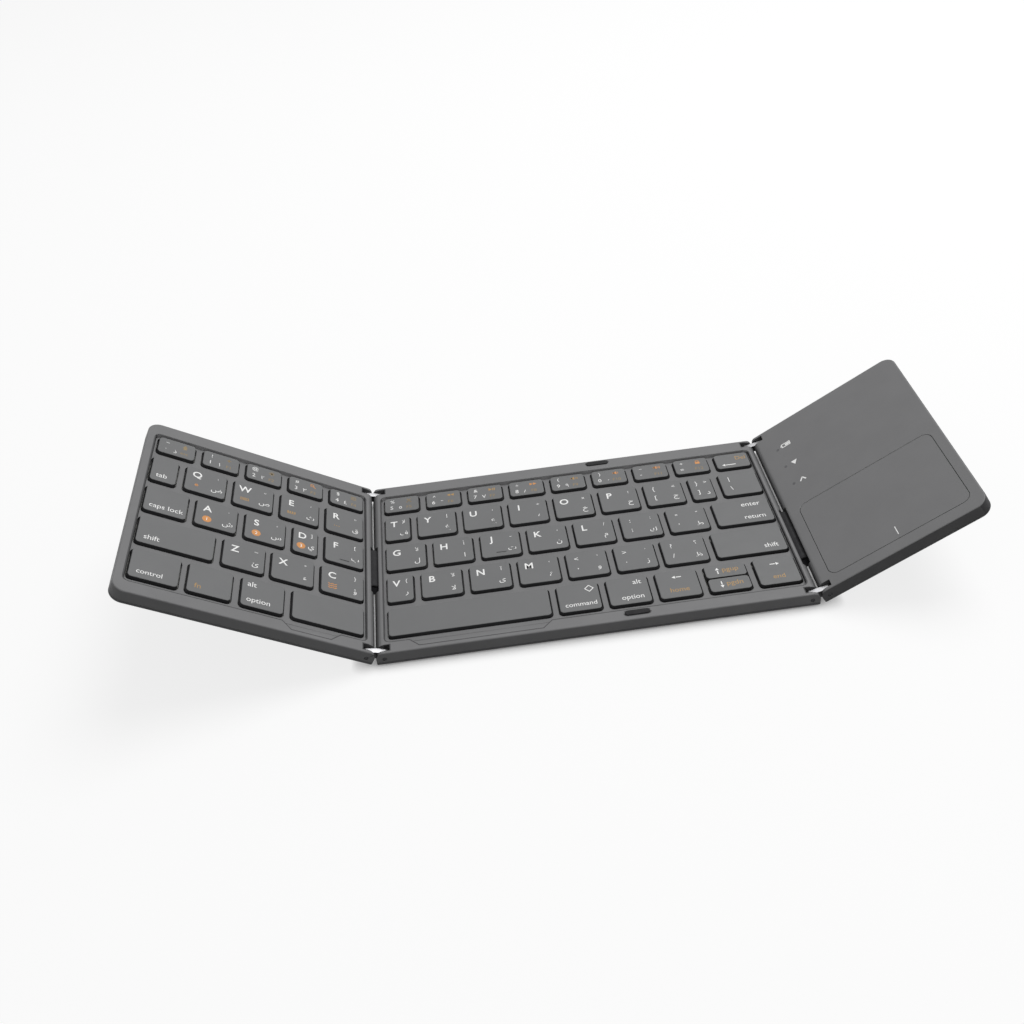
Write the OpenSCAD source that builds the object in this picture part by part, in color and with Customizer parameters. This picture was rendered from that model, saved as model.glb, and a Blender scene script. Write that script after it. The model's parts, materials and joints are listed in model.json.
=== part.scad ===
/* [Panels] */
// Front-to-back size of all three panels
panel_depth = 98; // [96:0.5:104]
// Thickness of a panel without its feet
panel_thickness = 6.2; // [6.2:0.1:6.8]
// Width of the centre panel over its rounded hinge edges
base_width = 166.6; // [166:0.2:172]
// Hinge axis to the outer edge of the key wing
left_reach = 92.7; // [92.5:0.1:96]
// Hinge axis to the outer edge of the touchpad wing
right_reach = 65; // [64.5:0.1:68]
// Plan radius of the wings' outer corners
corner_r = 5; // [3:0.5:6]
// Radius along the upper outside edges
top_edge_r = 0.6; // [0.3:0.1:0.9]
// Radius along the lower outside edges
bottom_edge_r = 1; // [0.4:0.1:1.3]
// Height of the rubber feet below the panels
foot_h = 0.6; // [0.4:0.1:1]

/* [Fold] */
// Slit between two rounded hinge edges
fold_gap = 0.6; // [0.5:0.1:0.9]
// How far the wings stand up from flat
rest_angle = 31; // [0:1:150]

/* [Keys] */
// Pitch of the letter keys
key_pitch = 19.1; // [19:0.1:19.2]
// Width of a letter key
key_w = 15.7; // [15:0.1:16]
// Front-to-back size of a letter key
key_d = 14.5; // [14:0.1:15]
// Pitch of the number keys
number_pitch = 17.8; // [17.6:0.1:17.9]
// Width of a number key
number_w = 14.3; // [13.8:0.1:14.6]
// Front-to-back size of a number key
number_d = 9.4; // [9:0.1:10]
// Pitch of the rows, front to back
row_pitch = 18.1; // [17.9:0.1:18.2]
// Dark slit round each key
key_gap = 0.6; // [0.3:0.1:0.6]
// How far a key goes down
key_travel = 1.1; // [0.8:0.1:1.1]
// Depth of the sunk field that the keys stand in
well_depth = 1.4; // [1:0.1:1.5]

/* [Touchpad] */
// Width of the touchpad plate
touchpad_w = 57; // [50:0.5:58]
// Front-to-back size of the touchpad plate
touchpad_d = 40.8; // [36:0.2:42]
// Corner radius of the touchpad plate
touchpad_r = 3.5; // [2:0.5:6]

/* [Hidden] */
$fn = 48;
eps = 0.01;
play = 0.1;
half_t = panel_thickness / 2;
half_d = panel_depth / 2;

// hinge axes: a link of length link_d joins two parallel pins at mid-thickness
pin_x = base_width / 2 - half_t;
pin_z = foot_h + half_t;
link_d = 2 * half_t + fold_gap;
pin_r = 0.75;
pin_play = 0.05;
link_r = 1.6;
link_t = 2.3;
skin_t = 1.4;
slot_w = 2.8;
cheek_t = 1.6;
slot_y = half_d - skin_t - slot_w / 2;
slot_end = 2.3;
slot_floor = -1.9;
cheek_y = slot_y - slot_w / 2 - cheek_t;

// heights inside a panel, measured from the hinge axis
split_z = -1.5;
floor_t = 1;
floor_z = floor_t - half_t;
web_t = 0.8;
web_z = half_t - well_depth;
web_under = web_z - web_t;
deck_t = 1.2;
deck_under = half_t - deck_t;
wall_t = 2;
end_wall = 6;
plate_z = -1;
plate_t = 0.4;
sheet_z = plate_z + plate_t;
sheet_t = 0.25;
key_top = half_t - 0.1;
key_h = 2;
key_wall = 0.8;
key_skin = 0.9;
key_r = 1.3;
stem_up = 0.15;
stem_low = key_top - key_h + stem_up;

// domes and scissors are drawn pressed down, clear of their keys at full travel
sheet_top = sheet_z + sheet_t;
dome_h = stem_low - key_travel - 0.05 - sheet_top;
scissor_bar = 0.45;
scissor_bar_w = 0.7;
scissor_rise = 0.65;
scissor_low = (scissor_bar + scissor_rise) / 2;
scissor_z = sheet_top + scissor_low;

// key field, from the front edge of the panel and from the hinge axis or the centre
row_front = -40.6;
well_front = -43.4;
well_rear = 42.3;
well_r = 2.2;
plate_y = [-42.6, 41.7];
base_plate = [-78.9, 79.1];
left_plate = [1.5, 89.5];
sheet_inset = 0.2;
base_keys_x = -78;
base_keys_end = 78.7;
base_well = [-79.6, 79.8];
left_keys_x = 2.1;
left_keys_end = 88.2;
left_well = [0.9, 90.5];
key_space = key_pitch - key_w;

// scoops in front of the two space bars: a small step down, then a slope to the key field
scoop_rise = 3.6;
scoop_y = -46.9;
scoop_step = 0.3;
scoop_sill = 0.1;
base_scoop = [-66.8, -20.8];
left_scoop = [14.7, 29.5];

// pockets in the hinge edges for the cable sleeves, and the ribbons inside them
pocket_x = -1.3;
pocket_play = 0.3;
left_sleeve = [-10.6, 10.7];
right_sleeve = [-27.5, 0.8];
ribbon_w = 12;
ribbon_lead = 4.1;
ribbon_t = 0.2;
ribbon_tuck = 1.3;
slit_h = 0.9;
slit_end = 4;
sleeve_low = -1.6;
sleeve_high = 1.1;
sleeve_bore = 0.5;

// screws
screw_r = 0.7;
screw_head_r = 1.4;
screw_head_h = 0.6;
screw_tip = 0.3;
boss_r = 1.6;
screw_y = 46;
base_screw_x = [-62, -8, 62];
left_screw_x = [14, 78];
right_screw_x = [24, 56];

// feet and bumpers
foot_w = 4;
foot_l = 14;
foot_sink = 0.3;
bumper_x = 14.6;
bumper_y = [46.6, -45.6];
bumper_l = 9.5;
bumper_w = 2.4;
bumper_proud = 0.45;
bumper_sink = 0.6;

// touchpad wing
pad_x = 3.6;
pad_front = -43.5;
pad_gap = 0.2;
pad_top = half_t - 0.05;
pad_t = 1.2;
pad_board_t = 0.8;
pad_lip = 1.2;
pad_tab_x = [8, 56];
pad_tab = 0.6;
lamp_x = 6.1;
lamp_y = [33.5, 21.9, 10.4];
lamp_r = 0.6;
lens_low = 0.1;
board_z = -1.3;
board_t = 0.8;
board_top = board_z + board_t;
board_x = [4, 19];
board_y = [-42.5, 43];
board_front_d = 12;
board_front_end = 38;
board_posts = [[7, -38], [7, 0], [7, 38], [34, -41], [17, 0]];
post_r = 1.2;
connector_x = [4, 6.6];
connector_h = 1.1;
switch_x = 32.2;
switch_y = -37;
cell_x = [21, 61];
cell_y = [3.5, 41];
cell_h = 3.3;
cell_r = 1.2;
socket_x = 11.5;
socket_w = 8.94;
socket_h = 3.2;
socket_l = 7.3;
socket_wall = 0.35;
socket_in = 0.2;

deck_colour = [0.47, 0.47, 0.48];
case_colour = [0.3, 0.3, 0.31];
metal_colour = [0.78, 0.79, 0.8];
rubber_colour = [0.12, 0.12, 0.13];
board_colour = [0.1, 0.32, 0.2];

// A key is [x, y, width, depth], from its front corner nearest the hinge or the left
function row_y(row) = row_front + row * row_pitch;
function run(x, row, n, pitch = key_pitch, w = key_w, d = key_d) =
    [for (i = [0 : n - 1]) [x + i * pitch, row_y(row), w, d]];
function one(x, row, w, d = key_d) = [[x, row_y(row), w, d]];
function from_end(end, row, w) = one(end - w, row, w);

narrow_w = 10;
arrow_split = 0.6;
base_second_x = base_keys_x + narrow_w + key_space;
space_right_w = 61.2;
arrows_x = base_keys_end - 3 * key_pitch + key_space;
half_arrow_d = (key_d - arrow_split) / 2;

// centre panel, row by row from the rear
k_numbers = run(base_keys_x, 4, 8, number_pitch, number_w, number_d);
k_backspace = one(base_keys_x + 8 * number_pitch, 4, number_w, number_d);
k_upper = concat(one(base_keys_x, 3, narrow_w), run(base_second_x, 3, 6),
    one(base_second_x + 6 * key_pitch, 3, 9.3));
k_backslash = from_end(base_keys_end, 3, key_w);
k_home = run(base_keys_x, 2, 7);
k_enter = from_end(base_keys_end, 2, 22.8);
k_lower = concat(one(base_keys_x, 1, narrow_w), run(base_second_x, 1, 5),
    one(base_second_x + 5 * key_pitch - 0.4, 1, 17.1));
k_shift_right = from_end(base_keys_end, 1, 27.7);
k_space_right = one(base_keys_x, 0, space_right_w);
k_command = one(arrows_x - 2 * key_pitch, 0, key_w);
k_option_right = one(arrows_x - key_pitch, 0, key_w);
k_arrow_left = one(arrows_x, 0, key_w);
k_arrow_down = [[arrows_x + key_pitch, row_y(0), key_w, half_arrow_d]];
k_arrow_up = [[arrows_x + key_pitch, row_y(0) + half_arrow_d + arrow_split, key_w, half_arrow_d]];
k_arrow_right = from_end(base_keys_end, 0, key_w);
base_keys = concat(k_numbers, k_backspace, k_upper, k_backslash, k_home, k_enter, k_lower,
    k_shift_right, k_space_right, k_command, k_option_right, k_arrow_left, k_arrow_down,
    k_arrow_up, k_arrow_right);

// key wing, measured outwards from its hinge axis
k_left_numbers = run(left_keys_x, 4, 5, number_pitch, number_w, number_d);
k_qwer = run(left_keys_x, 3, 4);
k_tab = from_end(left_keys_end, 3, 9.7);
k_asdf = concat(one(left_keys_x, 2, key_w), one(left_keys_x + key_pitch, 2, 9.8),
    run(left_keys_x + key_pitch + 9.8 + key_space, 2, 2));
k_caps_lock = from_end(left_keys_end, 2, key_w);
k_zxc = concat(one(left_keys_x, 1, 16.9), one(left_keys_x + 20.1, 1, 16.3),
    one(left_keys_x + 39.3, 1, key_w));
k_shift_left = from_end(left_keys_end, 1, 27.7);
k_space_left = one(left_keys_x, 0, 27.5);
k_option_left = one(left_keys_x + 27.5 + key_space, 0, key_w);
k_fn = one(left_keys_x + 27.5 + key_space + key_pitch + 0.2, 0, key_w);
k_control = from_end(left_keys_end, 0, 17.1);
left_keys = concat(k_left_numbers, k_qwer, k_tab, k_asdf, k_caps_lock, k_zxc, k_shift_left,
    k_space_left, k_option_left, k_fn, k_control);

// Both arrow half keys stand in one opening
arrow_opening = [[arrows_x + key_pitch, row_y(0), key_w, key_d]];

// ---- placing ----

// Panel parts are drawn round the hinge axis, at its height
module on_base() {
    translate([0, 0, pin_z]) children();
}

// The wing's hinge pin sits link_d from the base's, halfway up the fold angle
module on_right_wing() {
    translate([pin_x + link_d * cos(rest_angle / 2), 0, pin_z + link_d * sin(rest_angle / 2)])
        rotate([0, -rest_angle, 0]) children();
}

module on_left_wing() {
    mirror([1, 0, 0]) on_right_wing() children();
}

// A link's own frame: origin at the base's pin, +x towards the wing's pin
module on_right_link() {
    translate([pin_x, 0, pin_z]) rotate([0, -rest_angle / 2, 0]) children();
}

module on_left_link() {
    mirror([1, 0, 0]) on_right_link() children();
}

// ---- shared forms ----

module along_x(x0, x1) {
    translate([x0, 0, 0]) rotate([90, 0, 90]) linear_extrude(x1 - x0) children();
}

module along_y(y0, y1) {
    translate([0, y1, 0]) rotate([90, 0, 0]) linear_extrude(y1 - y0) children();
}

module block(x, y, z) {
    translate([x[0], y[0], z[0]]) cube([x[1] - x[0], y[1] - y[0], z[1] - z[0]]);
}

module round_rect(w, d, r) {
    translate([r, 0]) square([w - 2 * r, d]);
    translate([0, r]) square([w, d - 2 * r]);
    for (x = [r, w - r], y = [r, d - r]) translate([x, y]) circle(r);
}

module round_block(x, y, z, r) {
    translate([x[0], y[0], z[0]]) linear_extrude(z[1] - z[0])
        round_rect(x[1] - x[0], y[1] - y[0], r);
}

module pill(l, w, h) {
    linear_extrude(h) {
        square([l - w, w], center = true);
        for (s = [-1, 1]) translate([s * (l - w) / 2, 0]) circle(w / 2);
    }
}

// Section of a panel from its middle out to an outside edge at w
module edge_section(w) {
    translate([0, -half_t]) square([w - bottom_edge_r, bottom_edge_r]);
    translate([0, -half_t + bottom_edge_r])
        square([w, panel_thickness - bottom_edge_r - top_edge_r]);
    translate([0, half_t - top_edge_r]) square([w - top_edge_r, top_edge_r]);
    translate([w - bottom_edge_r, bottom_edge_r - half_t]) circle(bottom_edge_r);
    translate([w - top_edge_r, half_t - top_edge_r]) circle(top_edge_r);
}

// Hinge edge: the upper quarter is round about the pin, so two panels roll past each other
module hinge_edge_section() {
    circle(half_t);
    translate([-half_t, bottom_edge_r - half_t]) square([half_t, half_t - bottom_edge_r]);
    translate([bottom_edge_r - half_t, -half_t]) square([half_t - bottom_edge_r, half_t]);
    translate([bottom_edge_r - half_t, bottom_edge_r - half_t]) circle(bottom_edge_r);
}

module depth_section() {
    edge_section(half_d);
    mirror([1, 0]) edge_section(half_d);
}

module base_form() {
    intersection() {
        along_y(-half_d, half_d) {
            translate([-pin_x, -half_t]) square([2 * pin_x, panel_thickness]);
            translate([-pin_x, 0]) hinge_edge_section();
            mirror([1, 0]) translate([-pin_x, 0]) hinge_edge_section();
        }
        along_x(-base_width, base_width) depth_section();
    }
}

module wing_form(reach) {
    intersection() {
        along_y(-half_d, half_d) {
            hinge_edge_section();
            translate([0, -half_t]) square([reach, panel_thickness]);
        }
        along_x(-half_t - 1, reach - corner_r) depth_section();
    }
    along_y(corner_r - half_d, half_d - corner_r) edge_section(reach);
    for (s = [-1, 1]) translate([reach - corner_r, s * (half_d - corner_r), 0])
        rotate_extrude() edge_section(corner_r);
}

module above_split() {
    intersection() {
        children();
        block([-200, 200], [-100, 100], [split_z, 20]);
    }
}

module below_split() {
    intersection() {
        children();
        block([-200, 200], [-100, 100], [-20, split_z]);
    }
}

// Slots for the two link plates of a hinge edge at x = 0
module link_slots() {
    for (s = [-1, 1]) translate([0, s * slot_y, 0])
        block([-half_t - 1, slot_end], [-slot_w / 2, slot_w / 2], [slot_floor, half_t + 1]);
}

module pin_bores() {
    for (s = [-1, 1]) translate([0, s * (cheek_y + half_d) / 2, 0])
        rotate([90, 0, 0]) cylinder(r = pin_r + pin_play, h = half_d - cheek_y + 1, center = true);
}

// A pocket for a cable sleeve, and the slit that its ribbon takes into the panel
module sleeve_pocket(sleeve) {
    block([-half_t - 1, pocket_x],
        [sleeve[0] - ribbon_lead - pocket_play, sleeve[1] + pocket_play],
        [sleeve_low - pocket_play, half_t + 1]);
    block([pocket_x - 1, slit_end], ribbon_y(sleeve, pocket_play), [-slit_h / 2, slit_h / 2]);
}

function ribbon_y(sleeve, room = 0) =
    [sleeve[0] - ribbon_lead - room, sleeve[0] - ribbon_lead + ribbon_w + room];

module hinge_cuts(sleeve) {
    link_slots();
    pin_bores();
    sleeve_pocket(sleeve);
}

module base_hinge_cuts() {
    translate([-pin_x, 0, 0]) hinge_cuts(left_sleeve);
    mirror([1, 0, 0]) translate([-pin_x, 0, 0]) hinge_cuts(right_sleeve);
}

// ---- keys ----

module key_openings(keys) {
    for (k = keys)
        round_block([k[0] - key_gap, k[0] + k[2] + key_gap], [k[1] - key_gap, k[1] + k[3] + key_gap],
            [web_under - 1, half_t + 1], key_r + key_gap);
}

// A cap: flat top, thin skirt, and a stem that stands on its dome
module key_cap(k) {
    w = k[2];
    d = k[3];
    translate([k[0], k[1], key_top - key_h]) {
        difference() {
            round_block([0, w], [0, d], [0, key_h], key_r);
            round_block([key_wall, w - key_wall], [key_wall, d - key_wall],
                [-1, key_h - key_skin], key_r - key_wall);
        }
        translate([w / 2, d / 2, stem_up])
            cylinder(r = dome_r(k) / 2, h = key_h - key_skin - stem_up + eps);
    }
}

module key_set(keys) {
    color(deck_colour) for (k = keys) key_cap(k);
}

// ---- under the keys ----

function dome_r(k) = k[3] > 12 ? 2.5 : 1.6;
function key_centre(k) = [k[0] + k[2] / 2, k[1] + k[3] / 2, 0];

function inset(x) = [x[0] + sheet_inset, x[1] - sheet_inset];

module dome_sheet(x, keys) {
    color(rubber_colour) {
        block(x, plate_y, [sheet_z, sheet_top]);
        for (k = keys) translate(key_centre(k) + [0, 0, sheet_top - eps])
            cylinder(r1 = dome_r(k), r2 = dome_r(k) / 2, h = dome_h + eps);
    }
}

module key_plate(x) {
    color(metal_colour) block(x, plate_y, [plate_z, plate_z + plate_t]);
}

// One frame of a scissor pair, tilted about its middle, with two feet at its low end
module scissor_ring(l, w, side) {
    bar = scissor_bar_w;
    foot_x = side * (l / 2 - bar);
    rotate([0, side * asin(scissor_rise / l), 0]) difference() {
        cube([l, w, scissor_bar], center = true);
        cube([l - 2 * bar, w - 2 * bar, 1], center = true);
    }
    for (foot_y = [bar - w / 2, w / 2 - bar])
        block([foot_x - bar / 2, foot_x + bar / 2], [foot_y - bar / 2, foot_y + bar / 2],
            [-scissor_low, -scissor_rise / 2]);
}

// The inner frame sits in the outer one, and two short pins join their side bars
module scissor_pair(l, w) {
    inner_w = w - 2 * scissor_bar_w - 0.4;
    pin_y = w / 2 - scissor_bar_w - 0.05;
    scissor_ring(l, w, 1);
    scissor_ring(l, inner_w, -1);
    for (s = [-1, 1]) translate([0, s * pin_y, 0])
        rotate([90, 0, 0]) cylinder(r = 0.18, h = 1.1, center = true);
}

// Wide keys stand on two pairs, the half-size arrow keys on their domes alone
module scissors(keys) {
    color("white") for (k = keys) if (k[3] > 8) {
        l = min(10, k[2] - 3.2);
        w = k[3] > 12 ? 9.4 : 7.2;
        shift = k[2] > 40 ? k[2] / 4 : 0;
        for (s = shift > 0 ? [-1, 1] : [0])
            translate(key_centre(k) + [s * shift, 0, scissor_z]) scissor_pair(l, w);
    }
}

// ---- casings ----

module screw_bosses(xs, top) {
    for (x = xs, s = [-1, 1]) translate([x, s * screw_y, split_z])
        cylinder(r = boss_r, h = top - split_z + eps);
}

module screw_holes(xs) {
    for (x = xs, s = [-1, 1]) translate([x, s * screw_y, -half_t - 1])
        cylinder(r = screw_r, h = half_t + 1 + screw_tip + play);
}

module screw_head_seats(xs) {
    for (x = xs, s = [-1, 1]) translate([x, s * screw_y, -half_t - 1])
        cylinder(r = screw_head_r, h = screw_head_h + 1);
}

module screw_pads(xs) {
    for (x = xs, s = [-1, 1]) translate([x, s * screw_y, floor_z - eps])
        cylinder(r = boss_r, h = split_z - floor_z + eps);
}

module screws(xs) {
    color(metal_colour) for (x = xs, s = [-1, 1]) translate([x, s * screw_y, -half_t]) {
        difference() {
            cylinder(r = screw_head_r, h = screw_head_h);
            for (a = [0, 90]) rotate([0, 0, a]) cube([1.5, 0.35, 0.5], center = true);
        }
        cylinder(r = screw_r, h = half_t + screw_tip);
    }
}

// The hollow of a panel: between the cheeks, and wider out between the corners
module hollow(x, x_ends, z) {
    block(x, [-cheek_y, cheek_y], z);
    block(x_ends, [wall_t - half_d, half_d - wall_t], z);
}

module foot_recesses(places) {
    for (p = places) translate([p[0], p[1], -half_t - 1]) pill(p[2], foot_w + play, 1 + foot_sink);
}

module feet(places) {
    color(rubber_colour) for (p = places) translate([p[0], p[1], -half_t - foot_h])
        pill(p[2], foot_w, foot_h + foot_sink);
}

// Posts that press the dome sheet onto the key plate, in the bars between the rows
module posts(xs) {
    for (x = xs, row = [0 : 3])
        translate([x, row_y(row) + (key_d + row_pitch) / 2, sheet_top])
            cylinder(r = 0.8, h = web_under - sheet_top + eps);
}

// Ribs on the floor that carry the key plate
module ribs(xs) {
    for (x = xs) block([x - 0.4, x + 0.4], [-41, 40], [floor_z - eps, plate_z]);
}

// A slope from the rim down to the sunk field in front of a space bar, with splayed ends
module scoop(x) {
    sill = web_z + scoop_sill;
    inside = well_front + 1;
    intersection() {
        along_x(x[0] - scoop_rise, x[1] + scoop_rise) polygon([
            [inside, half_t + 1], [scoop_y, half_t + 1], [scoop_y, half_t - scoop_step],
            [well_front, sill], [inside, sill]]);
        translate([0, 0, web_z]) linear_extrude(well_depth + 1) polygon([
            [x[0] - scoop_rise, inside], [x[0] - scoop_rise, well_front],
            [x[0], scoop_y], [x[1], scoop_y],
            [x[1] + scoop_rise, well_front], [x[1] + scoop_rise, inside]]);
    }
}

base_cavity = [-79.2, 79.4];
base_ends = [end_wall - pin_x, pin_x - end_wall];
left_cavity = [1.2, left_reach - 1.7];
left_ends = [end_wall, left_reach - end_wall];
right_cavity = [1.6, right_reach - 1.7];
right_ends = [end_wall, right_reach - end_wall];
base_foot_places = [for (x = [-70, 70], y = [-38, 38]) [x, y, foot_l]];
centre_foot = [[0, 0, 12]];
left_foot_places = [for (y = [-38, 38]) [left_reach - 16, y, foot_l]];
right_foot_places = [for (y = [-38, 38]) [right_reach - 16, y, foot_l]];

module base_bottom_case() {
    color(case_colour) on_base() difference() {
        union() {
            difference() {
                below_split() base_form();
                hollow(base_cavity, base_ends, [floor_z, 0]);
            }
            screw_pads(base_screw_x);
            ribs([-66, -33, 0, 33, 66]);
        }
        base_hinge_cuts();
        screw_holes(base_screw_x);
        screw_head_seats(base_screw_x);
        foot_recesses(concat(base_foot_places, centre_foot));
    }
}

module base_top_cover() {
    color(deck_colour) on_base() difference() {
        union() {
            difference() {
                above_split() base_form();
                hollow(base_cavity, base_ends, [split_z - 1, web_under]);
                round_block(base_well, [well_front, well_rear], [web_z, half_t + 1], well_r);
                scoop(base_scoop);
            }
            screw_bosses(base_screw_x, web_under);
            posts([-58, 0, 58]);
        }
        key_openings(concat([for (k = base_keys) if (k[3] > 8) k], arrow_opening));
        base_hinge_cuts();
        screw_holes(base_screw_x);
        for (y = bumper_y) translate([bumper_x, y, half_t - bumper_sink])
            pill(bumper_l + play, bumper_w + play, bumper_sink + 1);
    }
}

module bumpers() {
    color(rubber_colour) for (y = bumper_y) translate([bumper_x, y, half_t - bumper_sink])
        pill(bumper_l, bumper_w, bumper_sink + bumper_proud);
}

module left_bottom_case() {
    color(case_colour) on_left_wing() difference() {
        union() {
            difference() {
                below_split() wing_form(left_reach);
                hollow(left_cavity, left_ends, [floor_z, 0]);
            }
            screw_pads(left_screw_x);
            ribs([14, 38, 62, 84]);
        }
        hinge_cuts(left_sleeve);
        screw_holes(left_screw_x);
        screw_head_seats(left_screw_x);
        foot_recesses(left_foot_places);
    }
}

module left_top_cover() {
    color(deck_colour) on_left_wing() difference() {
        union() {
            difference() {
                above_split() wing_form(left_reach);
                hollow(left_cavity, left_ends, [split_z - 1, web_under]);
                round_block(left_well, [well_front, well_rear], [web_z, half_t + 1], well_r);
                scoop(left_scoop);
            }
            screw_bosses(left_screw_x, web_under);
            posts([10, 48, 84]);
        }
        key_openings(left_keys);
        hinge_cuts(left_sleeve);
        screw_holes(left_screw_x);
    }
}

module right_bottom_case() {
    color(case_colour) on_right_wing() difference() {
        union() {
            difference() {
                below_split() wing_form(right_reach);
                hollow(right_cavity, right_ends, [floor_z, 0]);
            }
            screw_pads(right_screw_x);
            // a fence beside the battery, and posts under the controller board
            block([cell_x[0] - 1.2, cell_x[0] - 0.2], cell_y, [floor_z - eps, split_z]);
            for (p = board_posts) translate([p[0], p[1], floor_z - eps])
                cylinder(r = post_r, h = board_z - floor_z + eps);
        }
        hinge_cuts(right_sleeve);
        screw_holes(right_screw_x);
        screw_head_seats(right_screw_x);
        foot_recesses(right_foot_places);
        socket_hole();
    }
}

module right_top_cover() {
    color(deck_colour) on_right_wing() difference() {
        union() {
            difference() {
                above_split() wing_form(right_reach);
                hollow(right_cavity, right_ends, [split_z - 1, deck_under]);
            }
            screw_bosses(right_screw_x, deck_under);
        }
        round_block([pad_x - pad_gap, pad_x + touchpad_w + pad_gap],
            [pad_front - pad_gap, pad_front + touchpad_d + pad_gap],
            [deck_under - 1, half_t + 1], touchpad_r + pad_gap);
        for (y = lamp_y) translate([lamp_x, y, 0]) cylinder(r = lamp_r, h = half_t + 1);
        hinge_cuts(right_sleeve);
        screw_holes(right_screw_x);
        socket_hole();
    }
}

// ---- touchpad wing contents ----

module socket_hole() {
    translate([socket_x, half_d - wall_t - 1, 0]) rotate([-90, 0, 0])
        pill(socket_w + 3 * play, socket_h + 3 * play, wall_t + 2);
}

module charging_socket() {
    color(metal_colour) on_right_wing() translate([socket_x, half_d - socket_in - socket_l, 0]) {
        difference() {
            rotate([-90, 0, 0]) pill(socket_w, socket_h, socket_l);
            translate([0, 1, 0]) rotate([-90, 0, 0])
                pill(socket_w - 2 * socket_wall, socket_h - 2 * socket_wall, socket_l);
        }
        // contact tongue
        block([-3.3, 3.3], [0.5, socket_l - 0.8], [-0.35, 0.35]);
        // ears that rest on the board
        for (s = [-1, 1]) block([s > 0 ? socket_w / 2 - 0.4 : -socket_w / 2 - 1,
            s > 0 ? socket_w / 2 + 1 : 0.4 - socket_w / 2], [0.6, 2.6],
            [board_top, board_top + 0.3]);
    }
}

module controller_board() {
    color(board_colour) on_right_wing() difference() {
        union() {
            block(board_x, board_y, [board_z, board_top]);
            block([board_x[0], board_front_end], [board_y[0], board_y[0] + board_front_d],
                [board_z, board_top]);
            // lamps, two chips and the socket of the ribbon cable
            for (y = lamp_y) block([lamp_x - 0.8, lamp_x + 0.8], [y - 0.5, y + 0.5],
                [board_top - eps, lens_low]);
            block([8, 15], [-12, -5], [board_top - eps, 0.4]);
            block([9, 14], [12, 17], [board_top - eps, 0.3]);
            block(connector_x, ribbon_y(right_sleeve), [board_top - eps, board_top + connector_h]);
        }
        // a notch for the charging socket
        block([socket_x - socket_w / 2 - 0.2, socket_x + socket_w / 2 + 0.2],
            [half_d - socket_l - 0.5, half_d], [-half_t, half_t]);
    }
}

module click_switch() {
    color(metal_colour) on_right_wing() translate([switch_x, switch_y, board_top]) {
        block([-1.7, 1.7], [-1.7, 1.7], [0, 0.7]);
        translate([0, 0, 0.7 - eps]) cylinder(r = 0.8, h = 0.3 + eps);
    }
}

module battery() {
    color([0.7, 0.72, 0.75]) on_right_wing()
        round_block(cell_x, cell_y, [floor_z, floor_z + cell_h], cell_r);
}

module indicator_lenses() {
    color("white") on_right_wing() for (y = lamp_y) translate([lamp_x, y, 0]) {
        translate([0, 0, lens_low]) cylinder(r = lamp_r, h = half_t - lens_low);
        // a flange under the deck
        translate([0, 0, deck_under - 0.4]) cylinder(r = lamp_r + 0.5, h = 0.4);
    }
}

module touchpad_plate() {
    color(deck_colour) on_right_wing()
        round_block([pad_x, pad_x + touchpad_w], [pad_front, pad_front + touchpad_d],
            [pad_top - pad_t, pad_top], touchpad_r);
}

// The sensor board reaches under the deck at its sides and rear and with a front tab, which
// stops the plate at its rest height
module touch_sensor_board() {
    z = [pad_top - pad_t - pad_board_t, pad_top - pad_t];
    front = 0.3 - cheek_y;
    color(board_colour) on_right_wing() {
        block([pad_x - pad_lip, pad_x + touchpad_w + pad_lip],
            [front, pad_front + touchpad_d + pad_lip], z);
        block(pad_tab_x, [pad_front - pad_tab, front + 1], z);
    }
}

// ---- fold hinges ----

// Link plate: round ends about both pins, a press fit on them
module link_plate() {
    rotate([90, 0, 0]) translate([0, 0, -link_t / 2]) difference() {
        linear_extrude(link_t) {
            circle(link_r);
            translate([link_d, 0]) circle(link_r);
            translate([0, -link_r]) square([link_d, 2 * link_r]);
        }
        for (x = [0, link_d]) translate([x, 0, -1]) cylinder(r = pin_r, h = link_t + 2);
    }
}

module links() {
    color(metal_colour) for (s = [-1, 1]) translate([0, s * slot_y, 0]) link_plate();
}

// Each pin starts a little inside its cheek and ends just short of the panel's face
module hinge_pins() {
    start = cheek_y + 0.2;
    end = half_d - 0.1;
    color(metal_colour) for (x = [0, link_d], s = [-1, 1])
        translate([x, s * (start + end) / 2, 0])
            rotate([90, 0, 0]) cylinder(r = pin_r, h = end - start, center = true);
}

// A point at height z on the pocket wall of the base, on the middle plane of the link,
// and on the pocket wall of the wing, all in the right fold's own x and z
function turned(p, a) = [p[0] * cos(a) - p[1] * sin(a), p[0] * sin(a) + p[1] * cos(a)];
function fold_base(x, z) = [pin_x - x, pin_z + z];
function fold_mid(z) = [pin_x, pin_z] + turned([link_d / 2, z], rest_angle / 2);
function fold_wing(x, z) =
    [pin_x, pin_z] + turned([link_d, 0], rest_angle / 2) + turned([x, z], rest_angle);

// A band of height h through the fold, to end_x in the base and wing_x in the wing
function fold_band(end_x, wing_x, h) = [
    fold_base(end_x, -h / 2), fold_base(pocket_x, -h / 2), fold_mid(-h / 2),
    fold_wing(pocket_x, -h / 2), fold_wing(wing_x, -h / 2),
    fold_wing(wing_x, h / 2), fold_wing(pocket_x, h / 2),
    fold_mid(h / 2), fold_base(pocket_x, h / 2), fold_base(end_x, h / 2)];

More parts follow.
